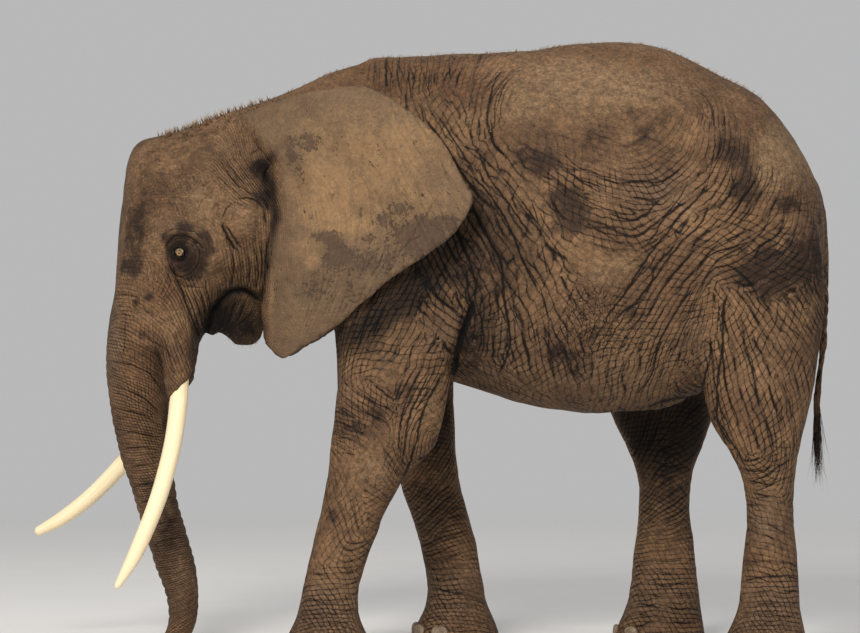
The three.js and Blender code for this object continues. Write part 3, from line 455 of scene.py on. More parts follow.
EAR_LIGHT = table("""
    -296 1996 400 280 0 0.6, -465 1895 127 127 0 0.5, -550 1700 59 42 0 0.5, -499 1633 42 34 0 0.8,
    -685 1472 25 152 0 0.6, -42 2149 127 110 0 0.35, -338 1785 85 42 0 0.7
""")
# reddish earth
RUST = table("""
    -60 2420 330 90 -8 0.7, -560 2330 260 50 16 0.6, -1120 1540 90 120 0 0.4, 900 2480 420 50 -12 0.35,
    1250 1900 160 120 0 0.3, -1260 1180 60 260 0 0.3
""")
# where the wrinkles stand further apart
WIDER = table("""
    1480 1560 260 240 0 0.4, -60 1340 260 300 0 0.5, 350 1700 240 420 20 0.2
""")
# swellings and hollows of the flesh, in millimetres
BULGES = table("""
    -905 1850 95 60 12 -16, -1000 1560 60 90 0 -8, -1160 1900 120 110 0 8, -700 2010 34 60 -20 -22,
    -735 1960 60 40 0 -8, -250 1500 60 240 0 -8, 60 1500 60 260 0 -10, -140 1560 120 200 0 10,
    520 2440 420 60 0 -8, 1130 2120 90 180 20 -14, 1040 2240 120 90 0 12, 1000 1300 70 200 10 -12,
    1420 1150 100 160 0 8, -330 800 60 70 0 8, 1390 980 60 90 0 -6, 560 1900 300 200 0 8,
    -60 2320 120 90 0 -8, 200 2380 120 90 0 8
""")
# the darkest places, where shade and shadow are painted: on the body, the ears, beside the ear's root and on
# the right legs
PAINTED_SHADE = table("""
    -900 1390 70 170 -32 1, -830 1370 150 150 0 0.75, 1655 1250 34 420 0 0.5, -1112 960 20 120 8 0.5,
    -380 1310 40 110 -25 0.85, 960 960 240 60 0 0.4, 60 1620 140 260 -45 0.6, -230 1400 120 200 -52 0.7,
    -150 1425 50 300 -57 0.7, 200 1250 120 160 15 0.5, -65 1556 80 420 -47 0.8, 338 1683 130 260 20 0.3,
    195 1874 40 110 25 0.6, 284 1662 30 110 20 0.6, 212 1430 60 150 10 0.7, -60 2360 240 130 0 0.3,
    -980 2120 190 90 -20 0.25, 300 1600 200 260 0 0.25, 500 2250 420 130 0 0.12, 1500 1560 150 190 0 0.3,
    350 1860 160 420 20 0.2, -780 1580 130 130 0 0.2, -60 1380 230 190 0 0.17, -1180 1950 160 160 0 0.14
""")
# painted shade on the ears beside their root
EAR_PAINTED_SHADE = table("""
    -690 1560 14 110 0 0.5, -530 1960 40 60 0 0.25, -560 2010 30 90 0 0.2
""")
# painted shade in the crevice between the cheek and the ear's root
CREVICE_PAINTED_SHADE = table("""
    -652 2100 20 90 -39 0.8, -712 2032 40 44 -15 0.97, -690 1985 30 70 24 0.93, -664 1890 24 100 12 0.9,
    -655 1780 20 100 -6 0.9, -670 1675 19 100 -12 0.85, -694 1580 16 100 -10 0.75, -725 1905 50 50 0 0.3,
    -735 1820 8 90 -6 0.5, -760 2040 40 16 30 0.4
""")
# painted shadow under the belly, on the right legs
PAINTED_SHADE_FAR = table("""
    1010 990 360 300 0 1, 1060 880 200 140 0 0.9, 960 700 190 300 0 0.6, 0 960 170 190 0 0.95,
    60 650 140 300 0 0.4
""")


# ------------------------------------------------------------------ surfaces


def fade(value: Array | float, start: Array | float, end: Array | float) -> Array:
    """Returns a smooth step from 0 at start to 1 at end: 3t² - 2t³."""
    t = np.clip((np.asarray(value, float) - start) / (end - start), 0, 1)
    return t * t * (3 - 2 * t)


def bell(value: Array, middle: float, width: float) -> Array:
    """Returns exp(-t²), t the distance from the middle in widths."""
    return np.exp(-(((value - middle) / width) ** 2))


def normed(vectors: Array) -> Array:
    """Returns rows of vectors at a length of 1."""
    return vectors / np.maximum(np.linalg.norm(vectors, axis=1, keepdims=True), 1e-9)


def lengths_along(line: Array) -> Array:
    """Returns how far along a line each of its points lies."""
    return np.concatenate([[0.0], np.cumsum(np.linalg.norm(np.diff(line, axis=0), axis=1))])


@dataclass
class Surface:
    """A closed triangle mesh in millimetres, whose corners can be eased and pushed."""

    points: Array
    triangles: Array

    def outward(self) -> "Surface":
        """Turns the faces outwards where the volume is below 0.

        Returns:
            The surface.
        """
        a, b, c = (self.points[self.triangles[:, i]] for i in range(3))
        volume = np.einsum("ij,ij->", a, np.cross(b, c))
        return self if volume > 0 else Surface(self.points, self.triangles[:, ::-1])

    def normals(self) -> Array:
        """Sums the faces' normals round each corner, weighted by their areas.

        Returns:
            The corners' unit normals.
        """
        a, b, c = (self.points[self.triangles[:, i]] for i in range(3))
        face = np.cross(b - a, c - a)
        total = np.zeros_like(self.points)
        for axis in range(3):
            weights = np.tile(face[:, axis], 3)
            total[:, axis] = np.bincount(self.triangles.T.ravel(), weights, len(self.points))
        return normed(total)

    def neighbours(self) -> tuple[Array, Array, Array]:
        """Finds which corners are neighbours.

        Returns:
            The directed edges' starts and ends, and each corner's count of them.
        """
        start = self.triangles[:, [0, 1, 2]].ravel()
        end = self.triangles[:, [1, 2, 0]].ravel()
        return start, end, np.maximum(np.bincount(start, minlength=len(self.points)), 1)

    def ease(self, rounds: int, share: Array | float, fill: float = 0.0) -> None:
        """Moves corners towards the mean of their neighbours.

        With fill at 1 only the outward part of a move along the normal is made, so that creases
        fill and ridges stay.

        Args:
            rounds: How often.
            share: How much of the way, 0 to 1, for each corner.
            fill: 0 for plain easing, 1 for filling creases.
        """
        start, end, count = self.neighbours()
        weight = np.broadcast_to(np.asarray(share, float), (len(self.points),))
        active = np.nonzero(weight > 0.003)[0]
        for step in range(rounds):
            mean = np.stack([
                np.bincount(start, self.points[end, axis], len(self.points)) for axis in range(3)
            ], -1)[active] / count[active, None]
            move = mean - self.points[active]
            if fill:
                if step % 6 == 0:
                    normal = self.normals()[active]
                rise = np.maximum(np.einsum("ij,ij->i", move, normal), 0)
                move = move * (1 - fill) + rise[:, None] * normal * fill
            self.points[active] += move * weight[active, None]


def joined(surfaces: Iterable[Surface]) -> Surface:
    """Puts surfaces into one, each with its own corners.

    Args:
        surfaces: The closed surfaces.

    Returns:
        One surface that holds them all.
    """
    parts = list(surfaces)
    starts = np.cumsum([0] + [len(part.points) for part in parts[:-1]])
    triangles = [part.triangles + start for part, start in zip(parts, starts)]
    return Surface(np.concatenate([part.points for part in parts]), np.concatenate(triangles))


def closed_tube(rings: Array, first: Array, last: Array) -> Surface:
    """Closes a grid of rings with a pole at each end.

    Args:
        rings: Points of shape (rings, around, 3).
        first: The pole before the first ring.
        last: The pole after the last ring.

    Returns:
        The closed surface.
    """
    count, around = rings.shape[:2]
    ids = 1 + np.arange(count * around).reshape(count, around)
    turn = np.roll(ids, -1, axis=1)
    a, b, c, d = ids[:-1], turn[:-1], turn[1:], ids[1:]
    sides = [np.stack(corners, -1).reshape(-1, 3) for corners in ((a, b, c), (a, c, d))]
    start = np.stack([np.zeros(around, int), turn[0], ids[0]], -1)
    end = np.stack([np.full(around, count * around + 1), ids[-1], turn[-1]], -1)
    points = np.concatenate([first[None], rings.reshape(-1, 3), last[None]])
    return Surface(points, np.concatenate([*sides, start, end])).outward()


def smooth_through(knots: Array, values: Array, at: Array) -> Array:
    """Reads smooth values between stations.

    Cubic Hermite pieces: the slope at a station is that of the line between its two neighbours.

    Args:
        knots: The stations' places along the path.
        values: A row of values for each station.
        at: Places in stations, such as 1.5 for half way from the second to the third.

    Returns:
        A row of values for each place.
    """
    last = len(knots) - 1
    ids = np.arange(last + 1)
    before, after = np.maximum(ids - 1, 0), np.minimum(ids + 1, last)
    slopes = (values[after] - values[before]) / (knots[after] - knots[before])[:, None]
    i = np.clip(np.floor(at).astype(int), 0, last - 1)
    s = (at - i)[:, None]
    span = (knots[i + 1] - knots[i])[:, None]
    rise = s * s * (3 - 2 * s)
    bends = slopes[i] * s * (1 - s) ** 2 - slopes[i + 1] * s * s * (1 - s)
    return values[i] * (1 - rise) + values[i + 1] * rise + span * bends


@dataclass(frozen=True)
class Body:
    """A form carried along its stations.

    Each station is x, y, z, half width, fore and aft reach, lean in degrees and the roundness of
    the fore and aft halves: a ring in the plane of Y and of the direction (-cos lean, 0, sin lean).
    """

    stations: Array

    @staticmethod
    def along(rows: Array) -> "Body":
        """Returns a body that lies along X, from its side and top outline."""
        return Body(np.array([
            (x, 0, widest, half, top - widest, widest - bottom, 90, square, 2.2)
            for x, top, widest, bottom, half, square in rows
        ], float))

    @staticmethod
    def upright(rows: Array, side: int = 0) -> "Body":
        """Returns a body that stands, from its outline, its offset and its half width."""
        return Body(np.array([
            ((front + rear) / 2, side * out, z, half, (rear - front) / 2, (rear - front) / 2, 0, 2.2, 2.2)
            for z, front, rear, out, half in rows
        ], float))

    @staticmethod
    def tube(rows: Array, side: int = 1) -> "Body":
        """Makes a tube whose rings stand square to its path.

        Args:
            rows: Stations of x, z, offset and half width, with the half depth where it differs.
            side: The sign of Y.

        Returns:
            The body.
        """
        path, ends = rows[:, :2], np.arange(len(rows))
        run = path[np.minimum(ends + 1, len(rows) - 1)] - path[np.maximum(ends - 1, 0)]
        lean = -np.degrees(np.arctan2(run[:, 1], run[:, 0])) - 90
        return Body(np.array([
            (row[0], side * row[2], row[1], row[3], row[-1], row[-1], tilt, 2, 2)
            for row, tilt in zip(rows, lean)
        ], float))

    def read(self, at: Array) -> Array:
        """Returns the stations' values at places along the body, counted in stations."""
        return smooth_through(lengths_along(self.stations[:, :3]), self.stations, at)

    def surface(self, around: int = 64, steps: int = 8) -> Surface:
        """Makes the closed surface.

        A ring's point at an angle is the centre, plus the half width times cos(angle) to the
        power 2 / roundness across, plus the reach times sin(angle) to that power along.

        Args:
            around: Points round a ring.
            steps: Rings from one station to the next.

        Returns:
            The closed surface.
        """
        last = len(self.stations) - 1
        rows = self.read(np.linspace(0, last, last * steps + 1))[:, None, :]
        angle = np.linspace(0, 2 * np.pi, around, endpoint=False)[None, :]
        ahead = np.sin(angle) >= 0
        power = 2 / np.where(ahead, rows[..., 7], rows[..., 8])
        radius = np.where(ahead, rows[..., 4], rows[..., 5])
        across = np.sign(np.cos(angle)) * np.abs(np.cos(angle)) ** power * rows[..., 3]
        reach = np.sign(np.sin(angle)) * np.abs(np.sin(angle)) ** power * radius
        lean = np.radians(rows[..., 6])
        rings = np.stack([
            rows[..., 0] - np.cos(lean) * reach, rows[..., 1] + across, rows[..., 2] + np.sin(lean) * reach,
        ], -1)
        return closed_tube(rings, rows[0, 0, :3], rows[-1, 0, :3])


def ellipsoid(centre: Sequence[float], radii: Sequence[float], turn: float = 0.0, square: float = 2.0,
              heading: float = 0.0, around: int = 40) -> Surface:
    """Makes a rounded block: an ellipsoid whose sine and cosine are raised to 2 / square.

    Args:
        centre: Its middle.
        radii: Its reach along X, Y and Z.
        turn: Its tilt about Y in degrees.
        square: 2 is an ellipsoid, more is boxier.
        heading: Its turn about Z in degrees, after the tilt.
        around: Points round it.

    Returns:
        The closed surface.
    """
    level = np.linspace(-np.pi / 2, np.pi / 2, around // 2 + 1)[1:-1, None]
    angle = np.linspace(0, 2 * np.pi, around, endpoint=False)[None, :]

    def bend(value: Array) -> Array:
        """Raises a sine or cosine to the power 2 / square and keeps its sign."""
        return np.sign(value) * np.abs(value) ** (2 / square)

    unit = np.stack([
        bend(np.cos(level)) * bend(np.cos(angle)), bend(np.cos(level)) * bend(np.sin(angle)),
        bend(np.sin(level)) * np.ones_like(angle),
    ], -1)
    tilt, spin = math.radians(turn), math.radians(heading)
    about_y = np.array([[math.cos(tilt), 0, math.sin(tilt)], [0, 1, 0], [-math.sin(tilt), 0, math.cos(tilt)]])
    about_z = np.array([[math.cos(spin), -math.sin(spin), 0], [math.sin(spin), math.cos(spin), 0], [0, 0, 1]])

    def place(points: Array) -> Array:
        """Stretches, turns and moves points of the unit block."""
        return (points * np.array(radii)) @ (about_z @ about_y).T + np.array(centre)

    poles = place(np.array([[0, 0, -1.0], [0, 0, 1.0]]))
    return closed_tube(place(unit), *poles)


def blocks(rows: Array, side: int = 1) -> list[Surface]:
    """Makes rounded blocks from rows of x, offset, z, three radii and turn."""
    return [ellipsoid((x, side * out, z), radii, turn) for x, out, z, *radii, turn in rows]


def swell(points: Array, length: float, seed: int, count: int = 10) -> Array:
    """Sums sine waves of random heading, with lengths near the one given, to a value near -1 to 1.

    Args:
        points: Places, of shape (n, 3).
        length: The mean wave length.
        seed: Chooses the waves.
        count: How many waves.

    Returns:
        A value for each place.
    """
    draw = np.random.default_rng(seed)
    heading = normed(draw.normal(size=(count, 3)))
    rate = 2 * np.pi / (length * draw.uniform(0.7, 1.4, count))
    phase = draw.uniform(0, 2 * np.pi, count)
    return np.sin(points @ (heading * rate[:, None]).T + phase).sum(1) / math.sqrt(count)


# ------------------------------------------------------------------ ears


def lead(z: Array) -> Array:
    """Returns how far the ear's root leans ahead at a level."""
    return 0.86 * np.maximum(z - 2040, 0)


@dataclass(frozen=True)
class Ear:
    """A cupped sheet that rolls out of the head and flares to the rear."""

    side: Side
    spread: float
    middle: tuple[float, float] = (-330.0, 1840.0)
    root_x: float = -640.0
    out: float = 272.0
    flare: float = 0.36
    half: float = 9.5
    rim_half: float = 6.5

    def rim(self, count: int) -> Array:
        """Runs a closed centripetal Catmull-Rom curve through the rim's points.

        Args:
            count: How many points to return.

        Returns:
            Points at even steps along the curve, as x and z.
        """

        def gap(a: Array, b: Array) -> Array:
            """Returns the root of the distance from some knots to others."""
            return np.sqrt(np.linalg.norm(b - a, axis=1))[:, None]

        knots = EAR_RIM
        before, after, beyond = (np.roll(knots, shift, axis=0) for shift in (1, -1, -2))
        d0, d1, d2 = gap(before, knots), gap(knots, after), gap(after, beyond)
        leave = ((knots - before) / d0 - (after - before) / (d0 + d1) + (after - knots) / d1) * d1
        arrive = ((after - knots) / d1 - (beyond - knots) / (d1 + d2) + (beyond - after) / d2) * d1
        t = np.linspace(0, 1, 64, endpoint=False)[None, :, None]
        knots, after, leave, arrive = (value[:, None] for value in (knots, after, leave, arrive))
        curve = (
            knots + leave * t + (3 * (after - knots) - 2 * leave - arrive) * t**2
            + (2 * (knots - after) + leave + arrive) * t**3
        ).reshape(-1, 2)
        curve = np.concatenate([curve, curve[:1]])
        run = lengths_along(curve)
        at = np.linspace(0, run[-1], count, endpoint=False)
        return np.stack([np.interp(at, run, curve[:, i]) for i in range(2)], -1)

    def stand(self, x: Array, z: Array) -> Array:
        """Measures how far the sheet stands from the body's middle at points of its side view.

        It is the out value, plus a roll that rises to 62 mm just behind the root, plus the flare, less
        the part sunk in the head, less a lean in at the top and the lobe, plus a long wave.

        Args:
            x: The points' x.
            z: Their level.

        Returns:
            The distance.
        """
        behind = x - self.root_x + lead(z)
        roll = 62 * (1 - np.exp(-np.maximum(behind + 60, 0) / 45))
        sunk = fade(z, 1560, 1720) * np.maximum(-behind - 12, 0) * 3
        top = (0.0012 + 0.0022 * np.exp(-np.maximum(behind, 0) / 200)) * np.maximum(z - 2000, 0) ** 2
        lobe = 0.08 * np.maximum(1640 - z, 0)
        wave = 8 * np.sin((x + 1.3 * z) / 120) * fade(behind, 60, 420)
        return self.out + roll + self.flare * np.maximum(behind, -20) - sunk - top - lobe + wave

    def surface(self, around: int = 360, rings: int = 56) -> Surface:
        """Makes the sheet: rings from its middle to the rim on the outer face, and back on the inner one.

        Args:
            around: Points round a ring.
            rings: Rings on each face.

        Returns:
            The closed surface.
        """
        share = np.linspace(0, 1, rings + 1)[1:, None]
        rim = self.rim(around)
        low = fade(-rim[:, 1], -1700, -1450)
        scallop = 1 + 0.006 * np.sin(np.arange(around) * 2 * np.pi * 23 / around) * low
        rim = np.array(self.middle) + (rim - np.array(self.middle)) * scallop[:, None]
        x = self.middle[0] + (rim[None, :, 0] - self.middle[0]) * share
        z = self.middle[1] + (rim[None, :, 1] - self.middle[1]) * share
        x = self.root_x + self.spread * (x - self.root_x)
        rooted = 1 - fade(x, self.root_x - 60, self.root_x + 220)
        half = (self.half + 10 * rooted) * (1 - share**3) + self.rim_half * share**3
        stand = self.stand(x, z)
        faces = [np.stack([x, self.side.value * (stand + sign * half), z], -1) for sign in (1, -1)]
        middle_x = self.root_x + self.spread * (self.middle[0] - self.root_x)
        middle_z = self.middle[1]
        out = float(self.stand(np.array(middle_x), np.array(middle_z)))
        poles = [
            np.array([middle_x, self.side.value * (out + sign * self.half), middle_z]) for sign in (1, -1)
        ]
        return closed_tube(np.concatenate([faces[0], faces[1][::-1]]), *poles)

    def holds(self, points: Array) -> Array:
        """Tells how surely points lie on the ear.

        Args:
            points: The points.

        Returns:
            1 on its sheet, fading to 0 some 45 mm off it.
        """
        middle = np.array(self.middle)
        rim = self.rim(240) - middle
        flat = np.stack([self.root_x + (points[:, 0] - self.root_x) / self.spread, points[:, 2]], -1) - middle
        turn = np.arctan2(rim[:, 1], rim[:, 0])
        order = np.argsort(turn)
        reach = np.linalg.norm(rim, axis=1)[order]
        limit = np.interp(np.arctan2(flat[:, 1], flat[:, 0]), turn[order], reach, period=2 * np.pi)
        inside = 1 - fade(np.linalg.norm(flat, axis=1) - limit, 12, 30)
        away = np.abs(points[:, 1] * self.side.value - self.stand(points[:, 0], points[:, 2]))
        root = fade(points[:, 0] + lead(points[:, 2]), self.root_x - 50, self.root_x - 15)
        return inside * (1 - fade(away, 24, 44)) * np.maximum(root, fade(-points[:, 2], -1640, -1560))


EARS = (Ear(Side.LEFT, 1.0), Ear(Side.RIGHT, 0.95))


# ------------------------------------------------------------------ meshes


@dataclass
class Frame:
    """Carries millimetres of the animal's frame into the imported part's metres."""

    shift: Array

    def settle(self) -> None:
        """Finds the shift from the left eye's box."""
        low, high = (np.array(corner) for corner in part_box("eye_left"))
        self.shift = (low + high) / 2 * METRE - EYE * np.array([1, -1, 1])

    def mesh(self, name: str, surface: Surface) -> bpy.types.Object:
        """Makes an object whose place is in its mesh.

        Args:
            name: The piece's name.
            surface: Its corners and triangles.

        Returns:
            The linked object.
        """
        data = bpy.data.meshes.new(name)
        count = len(surface.triangles)
        data.vertices.add(len(surface.points))
        self.write(data, surface.points)
        data.loops.add(count * 3)
        data.loops.foreach_set("vertex_index", surface.triangles.astype(np.int32).ravel())
        data.polygons.add(count)
        data.polygons.foreach_set("loop_start", np.arange(0, count * 3, 3, dtype=np.int32))
        data.update(calc_edges=True)
        data.polygons.foreach_set("use_smooth", np.ones(count, bool))
        item = bpy.data.objects.new(name, data)
        bpy.context.scene.collection.objects.link(item)
        return item

    def write(self, data: bpy.types.Mesh, points: Array) -> None:
        """Places a mesh's corners."""
        data.vertices.foreach_set("co", ((points + self.shift) / METRE).astype(np.float32).ravel())

    def read(self, data: bpy.types.Mesh) -> Surface:
        """Reads a mesh.

        Args:
            data: The mesh.

        Returns:
            Its corners in millimetres and its triangles.
        """
        points = np.empty(len(data.vertices) * 3, np.float32)
        data.vertices.foreach_get("co", points)
        data.calc_loop_triangles()
        triangles = np.empty(len(data.loop_triangles) * 3, np.int32)
        data.loop_triangles.foreach_get("vertices", triangles)
        return Surface(points.reshape(-1, 3).astype(float) * METRE - self.shift, triangles.reshape(-1, 3))

    def take(self, data: bpy.types.Mesh) -> Surface:
        """Reads a mesh and removes it.

        Args:
            data: The mesh.

        Returns:
            Its corners in millimetres and its triangles.
        """
        surface = self.read(data)
        bpy.data.meshes.remove(data)
        return surface


FRAME = Frame(np.zeros(3))


def modified(item: bpy.types.Object, kind: str, **settings: Any) -> bpy.types.Mesh:
    """Applies one modifier and returns the new mesh.

    Args:
        item: The object, which is removed with its mesh.
        kind: The modifier's type.
        settings: Its settings.

    Returns:
        The mesh with the modifier applied.
    """
    modifier = item.modifiers.new(kind.lower(), kind)
    for name, value in settings.items():
        setattr(modifier, name, value)
    graph = bpy.context.evaluated_depsgraph_get()
    result = bpy.data.meshes.new_from_object(item.evaluated_get(graph))
    drop(item)
    return result


def drop(item: bpy.types.Object) -> None:
    """Removes a helper object and its mesh.

    Args:
        item: The object.
    """
    data = item.data
    bpy.data.objects.remove(item)
    bpy.data.meshes.remove(data)


def set_attribute(data: bpy.types.Mesh, name: str, values: Array, domain: str = "POINT") -> None:
    """Stores an attribute.

    Args:
        data: The mesh.
        name: The attribute's name.
        values: A number or a row of three for each place.
        domain: POINT for the vertices, CORNER for the corners of the triangles.
    """
    kind, key = ("FLOAT_VECTOR", "vector") if values.ndim == 2 else ("FLOAT", "value")
    layer = data.attributes.new(name, kind, domain)
    layer.data.foreach_set(key, values.astype(np.float32).ravel())


# ------------------------------------------------------------------ the side drawing


def on_drawing(points: Array) -> Array:
    """Returns points' places on the side drawing, from the side that each is on."""
    scale = VIEW_DISTANCE / (VIEW_DISTANCE - np.abs(points[:, 1]))
    return np.stack([points[:, 0] * scale, VIEW_HEIGHT + (points[:, 2] - VIEW_HEIGHT) * scale], -1)


def in_oval(places: Array, oval: Array) -> tuple[Array, Array]:
    """Measures places from an oval's middle.

    Args:
        places: Points of the drawing.
        oval: x, z, two radii, turn in degrees and amount.

    Returns:
        How far they lie along each of its radii, in that radius.
    """
    x, z, wide, high, turn, _ = oval
    near = places - (x, z)
    c, s = math.cos(math.radians(turn)), math.sin(math.radians(turn))
    return (near[:, 0] * c + near[:, 1] * s) / wide, (near[:, 1] * c - near[:, 0] * s) / high


def patches(places: Array, ovals: Array) -> Array:
    """Adds soft ovals: each falls evenly from its amount to 0 between 0.4 and 1.4 of its radii.

    Args:
        places: Points of the drawing.
        ovals: Rows of x, z, two radii, turn in degrees and amount.

    Returns:
        A value from 0 to 1 for each point: 1 less the product of each oval's rest.
    """
    rest = np.ones(len(places))
    for oval in ovals:
        rest *= 1 - oval[5] * np.clip(1.4 - np.hypot(*in_oval(places, oval)), 0, 1)
    return 1 - rest


def mound(points: Array, oval: Array) -> Array:
    """Makes one swelling or hollow of the flesh: its amount times exp(-q²), q the distance in its radii.

    Args:
        points: The corners.
        oval: x, z, two radii, turn in degrees and amount.

    Returns:
        The height of each corner.
    """
    u, v = in_oval(on_drawing(points), oval)
    return oval[5] * np.exp(-np.minimum(u**2 + v**2, 30))


SHALLOW_KINDS = ("side", "neck", "armpit", "groin", "elbow", "knee", "hock", "face", "trunk", "fan")


@dataclass
class Fold:
    """A fold of the skin along a line of the drawing."""

    kind: str
    width: float
    depth: float
    line: Array
    channel: int = 0

    def distance(self, places: Array, limit: float = 60.0) -> tuple[Array, Array, Array]:
        """Measures points against the line.

        Args:
            places: Points of the drawing.
            limit: How far from the line's box points are looked at.

        Returns:
            The chosen points' numbers, their signed distances, and a weight that fades at the ends.
        """
        low, high = self.line.min(0) - limit, self.line.max(0) + limit
        chosen = np.nonzero(((places > low) & (places < high)).all(1))[0]
        run = lengths_along(self.line)
        best = np.full(len(chosen), np.inf)
        signed = np.zeros(len(chosen))
        place = np.zeros(len(chosen))
        for i in range(len(self.line) - 1):
            step = self.line[i + 1] - self.line[i]
            length = np.linalg.norm(step)
            near = places[chosen] - self.line[i]
            t = np.clip(near @ step / length**2, 0, 1)
            away = np.linalg.norm(near - t[:, None] * step, axis=1)
            closer = away < best
            cross = step[0] * near[:, 1] - step[1] * near[:, 0]
            best = np.where(closer, away, best)
            signed = np.where(closer, away * np.sign(cross), signed)
            place = np.where(closer, run[i] + t * length, place)
        taper = min(60.0, run[-1] * 0.3)
        ends = fade(place, 0, taper) * fade(run[-1] - place, 0, taper)
        return chosen, signed, ends


@dataclass
class Drawing:
    """The folds on the side drawing, sorted into channels that keep near ones apart."""

    apart: float = 62.0  # how near folds of one channel may come
    spread: float = 1.15  # how much wider than drawn a fold is pressed in
    firm: float = 0.9  # how much of its depth it is pressed in by
    shallow: float = 0.45  # the same where the wrinkles are as deep as the folds
    reach: tuple[float, float] = (18.0, 28.0)  # between which distances a fold's mark ends
    blank: tuple[float, float, float] = (100.0, 0.0, 6.0)  # the distance, depth and width off all folds
    folds: list[Fold] = field(default_factory=list)

    def draw(self) -> None:
        """Reads the table of folds and gives each a channel: one with no neighbour in it, or the roomiest."""
        for row in FOLD_LINES.split(","):
            kind, width, depth, *places = row.split()
            line = self.curved(np.array(places, float).reshape(-1, 2))
            self.folds.append(Fold(kind, float(width), float(depth), line))
        placed: list[Fold] = []
        for fold in sorted(self.folds, key=attrgetter("depth"), reverse=True):
            room = []
            for channel in range(CHANNELS):
                others = [other.line for other in placed if other.channel == channel]
                gaps = [np.linalg.norm(fold.line[:, None] - line[None], axis=2).min() for line in others]
                room.append(min(gaps, default=1e6))
            free = [channel for channel, gap in enumerate(room) if gap > self.apart]
            fold.channel = free[0] if free else int(np.argmax(room))
            placed.append(fold)

    @staticmethod
    def curved(line: Array) -> Array:
        """Returns the line with three points for each step, on a smooth curve through its own."""
        last = len(line) - 1
        return smooth_through(lengths_along(line), line, np.linspace(0, last, last * 3 + 1))

    def weights(self, points: Array, ears: Array) -> dict[str, Array]:
        """Works out how far each kind of fold acts on points.

        Args:
            points: The points.
            ears: How surely each lies on an ear.

        Returns:
            The share of each point by the fold's kind: veins act on the ears, some folds only on the left.
        """
        near = fade(-points[:, 1], -60, 60)
        upper = fade(points[:, 2], 1040, 1160)
        body = 1 - ears
        legs = near * body
        share = {"vein": ears, "armpit": body * np.maximum(near, upper), "groin": legs}
        for kind in ("elbow", "knee", "hock"):
            share[kind] = legs
        return {fold.kind: share.get(fold.kind, body) for fold in self.folds}

    def pressed(self, points: Array, ears: Array) -> Array:
        """Sums how deep the folds press into the flesh, with their banks raised a little.

        A fold's section is depth times (exp(-t²) - 0.35 exp(-((|t| - 1.9) / 0.9)²)), t the distance
        in its spread widths.

        Args:
            points: The corners.
            ears: How surely each lies on an ear.

        Returns:
            The depth at each corner.
        """
        places = on_drawing(points)
        shares = self.weights(points, ears)
        pressed = np.zeros(len(points))
        for fold in self.folds:
            chosen, signed, ends = fold.distance(places)
            t = np.abs(signed) / (fold.width * self.spread)
            section = bell(t, 0.0, 1.0) - 0.35 * bell(t, 1.9, 0.9)
            firm = self.shallow if fold.kind in SHALLOW_KINDS else self.firm
            pressed[chosen] += firm * fold.depth * section * ends * shares[fold.kind][chosen]
        return pressed

    def store(self, data: bpy.types.Mesh, points: Array, ears: Array) -> None:
        """Stores, for each channel, the signed distance to its nearest fold, its depth and its width.

        Args:
            data: The mesh.
            points: Its corners.
            ears: How surely each lies on an ear.
        """
        places = on_drawing(points)
        shares = self.weights(points, ears)
        for channel in range(CHANNELS):
            record = np.tile(self.blank, (len(points), 1))
            nearest = np.full(len(points), np.inf)
            for fold in (item for item in self.folds if item.channel == channel):
                chosen, signed, ends = fold.distance(places)
                closer = np.abs(signed) < nearest[chosen]
                ids = chosen[closer]
                nearest[ids] = np.abs(signed[closer])
                presence = 1 - fade(nearest[ids], *self.reach)
                record[ids, 0] = signed[closer]
                record[ids, 1] = fold.depth * ends[closer] * presence * shares[fold.kind][ids]
                record[ids, 2] = fold.width
            set_attribute(data, f"fold_{channel}", record)


def lie_of_wrinkles(points: Array, normals: Array, far: Array) -> tuple[Array, Array, Array]:
    """Reads the wrinkles' lie and strength from the nearest rows of the lie tables.

    Each row weighs 1 / (d² + 45²)², d its distance on the drawing. Angles are blended as the
    doubled angle's sine and cosine, because a line has no front end.

    Args:
        points: The corners.
        normals: Their normals.
        far: 1 on the right legs, which have a table of their own.

    Returns:
        The unit direction across the wrinkles, the one along them, and rows of pitch in
        millimetres, strength of the lines, of the cross lines and of the cells.
    """
    places = on_drawing(points)

    def blended(lie: Array) -> Array:
        """Blends a table's rows at each place.

        Args:
            lie: The table.

        Returns:
            Rows of the doubled angle's cosine and sine, and the table's values.
        """
        values = np.concatenate([
            np.cos(np.radians(2 * lie[:, 2:3])), np.sin(np.radians(2 * lie[:, 2:3])), lie[:, 3:],
        ], 1)
        gap = ((places[:, None, :] - lie[None, :, :2]) ** 2).sum(2)
        weight = 1 / (gap + 45.0**2) ** 2
        return (weight @ values) / weight.sum(1, keepdims=True)

    values = blended(LIE_NEAR) * (1 - far[:, None]) + blended(LIE_FAR) * far[:, None]
    angle = np.arctan2(values[:, 1], values[:, 0]) / 2
    forward = np.array([1.0, 0, 0])
    ahead = normed(forward - normals[:, :1] * normals)
    up = np.cross(normals, ahead) * np.where(points[:, 1:2] < 0, 1.0, -1.0)
    line = ahead * np.cos(angle)[:, None] + up * np.sin(angle)[:, None]
    return np.cross(normals, line), line, values[:, 2:]


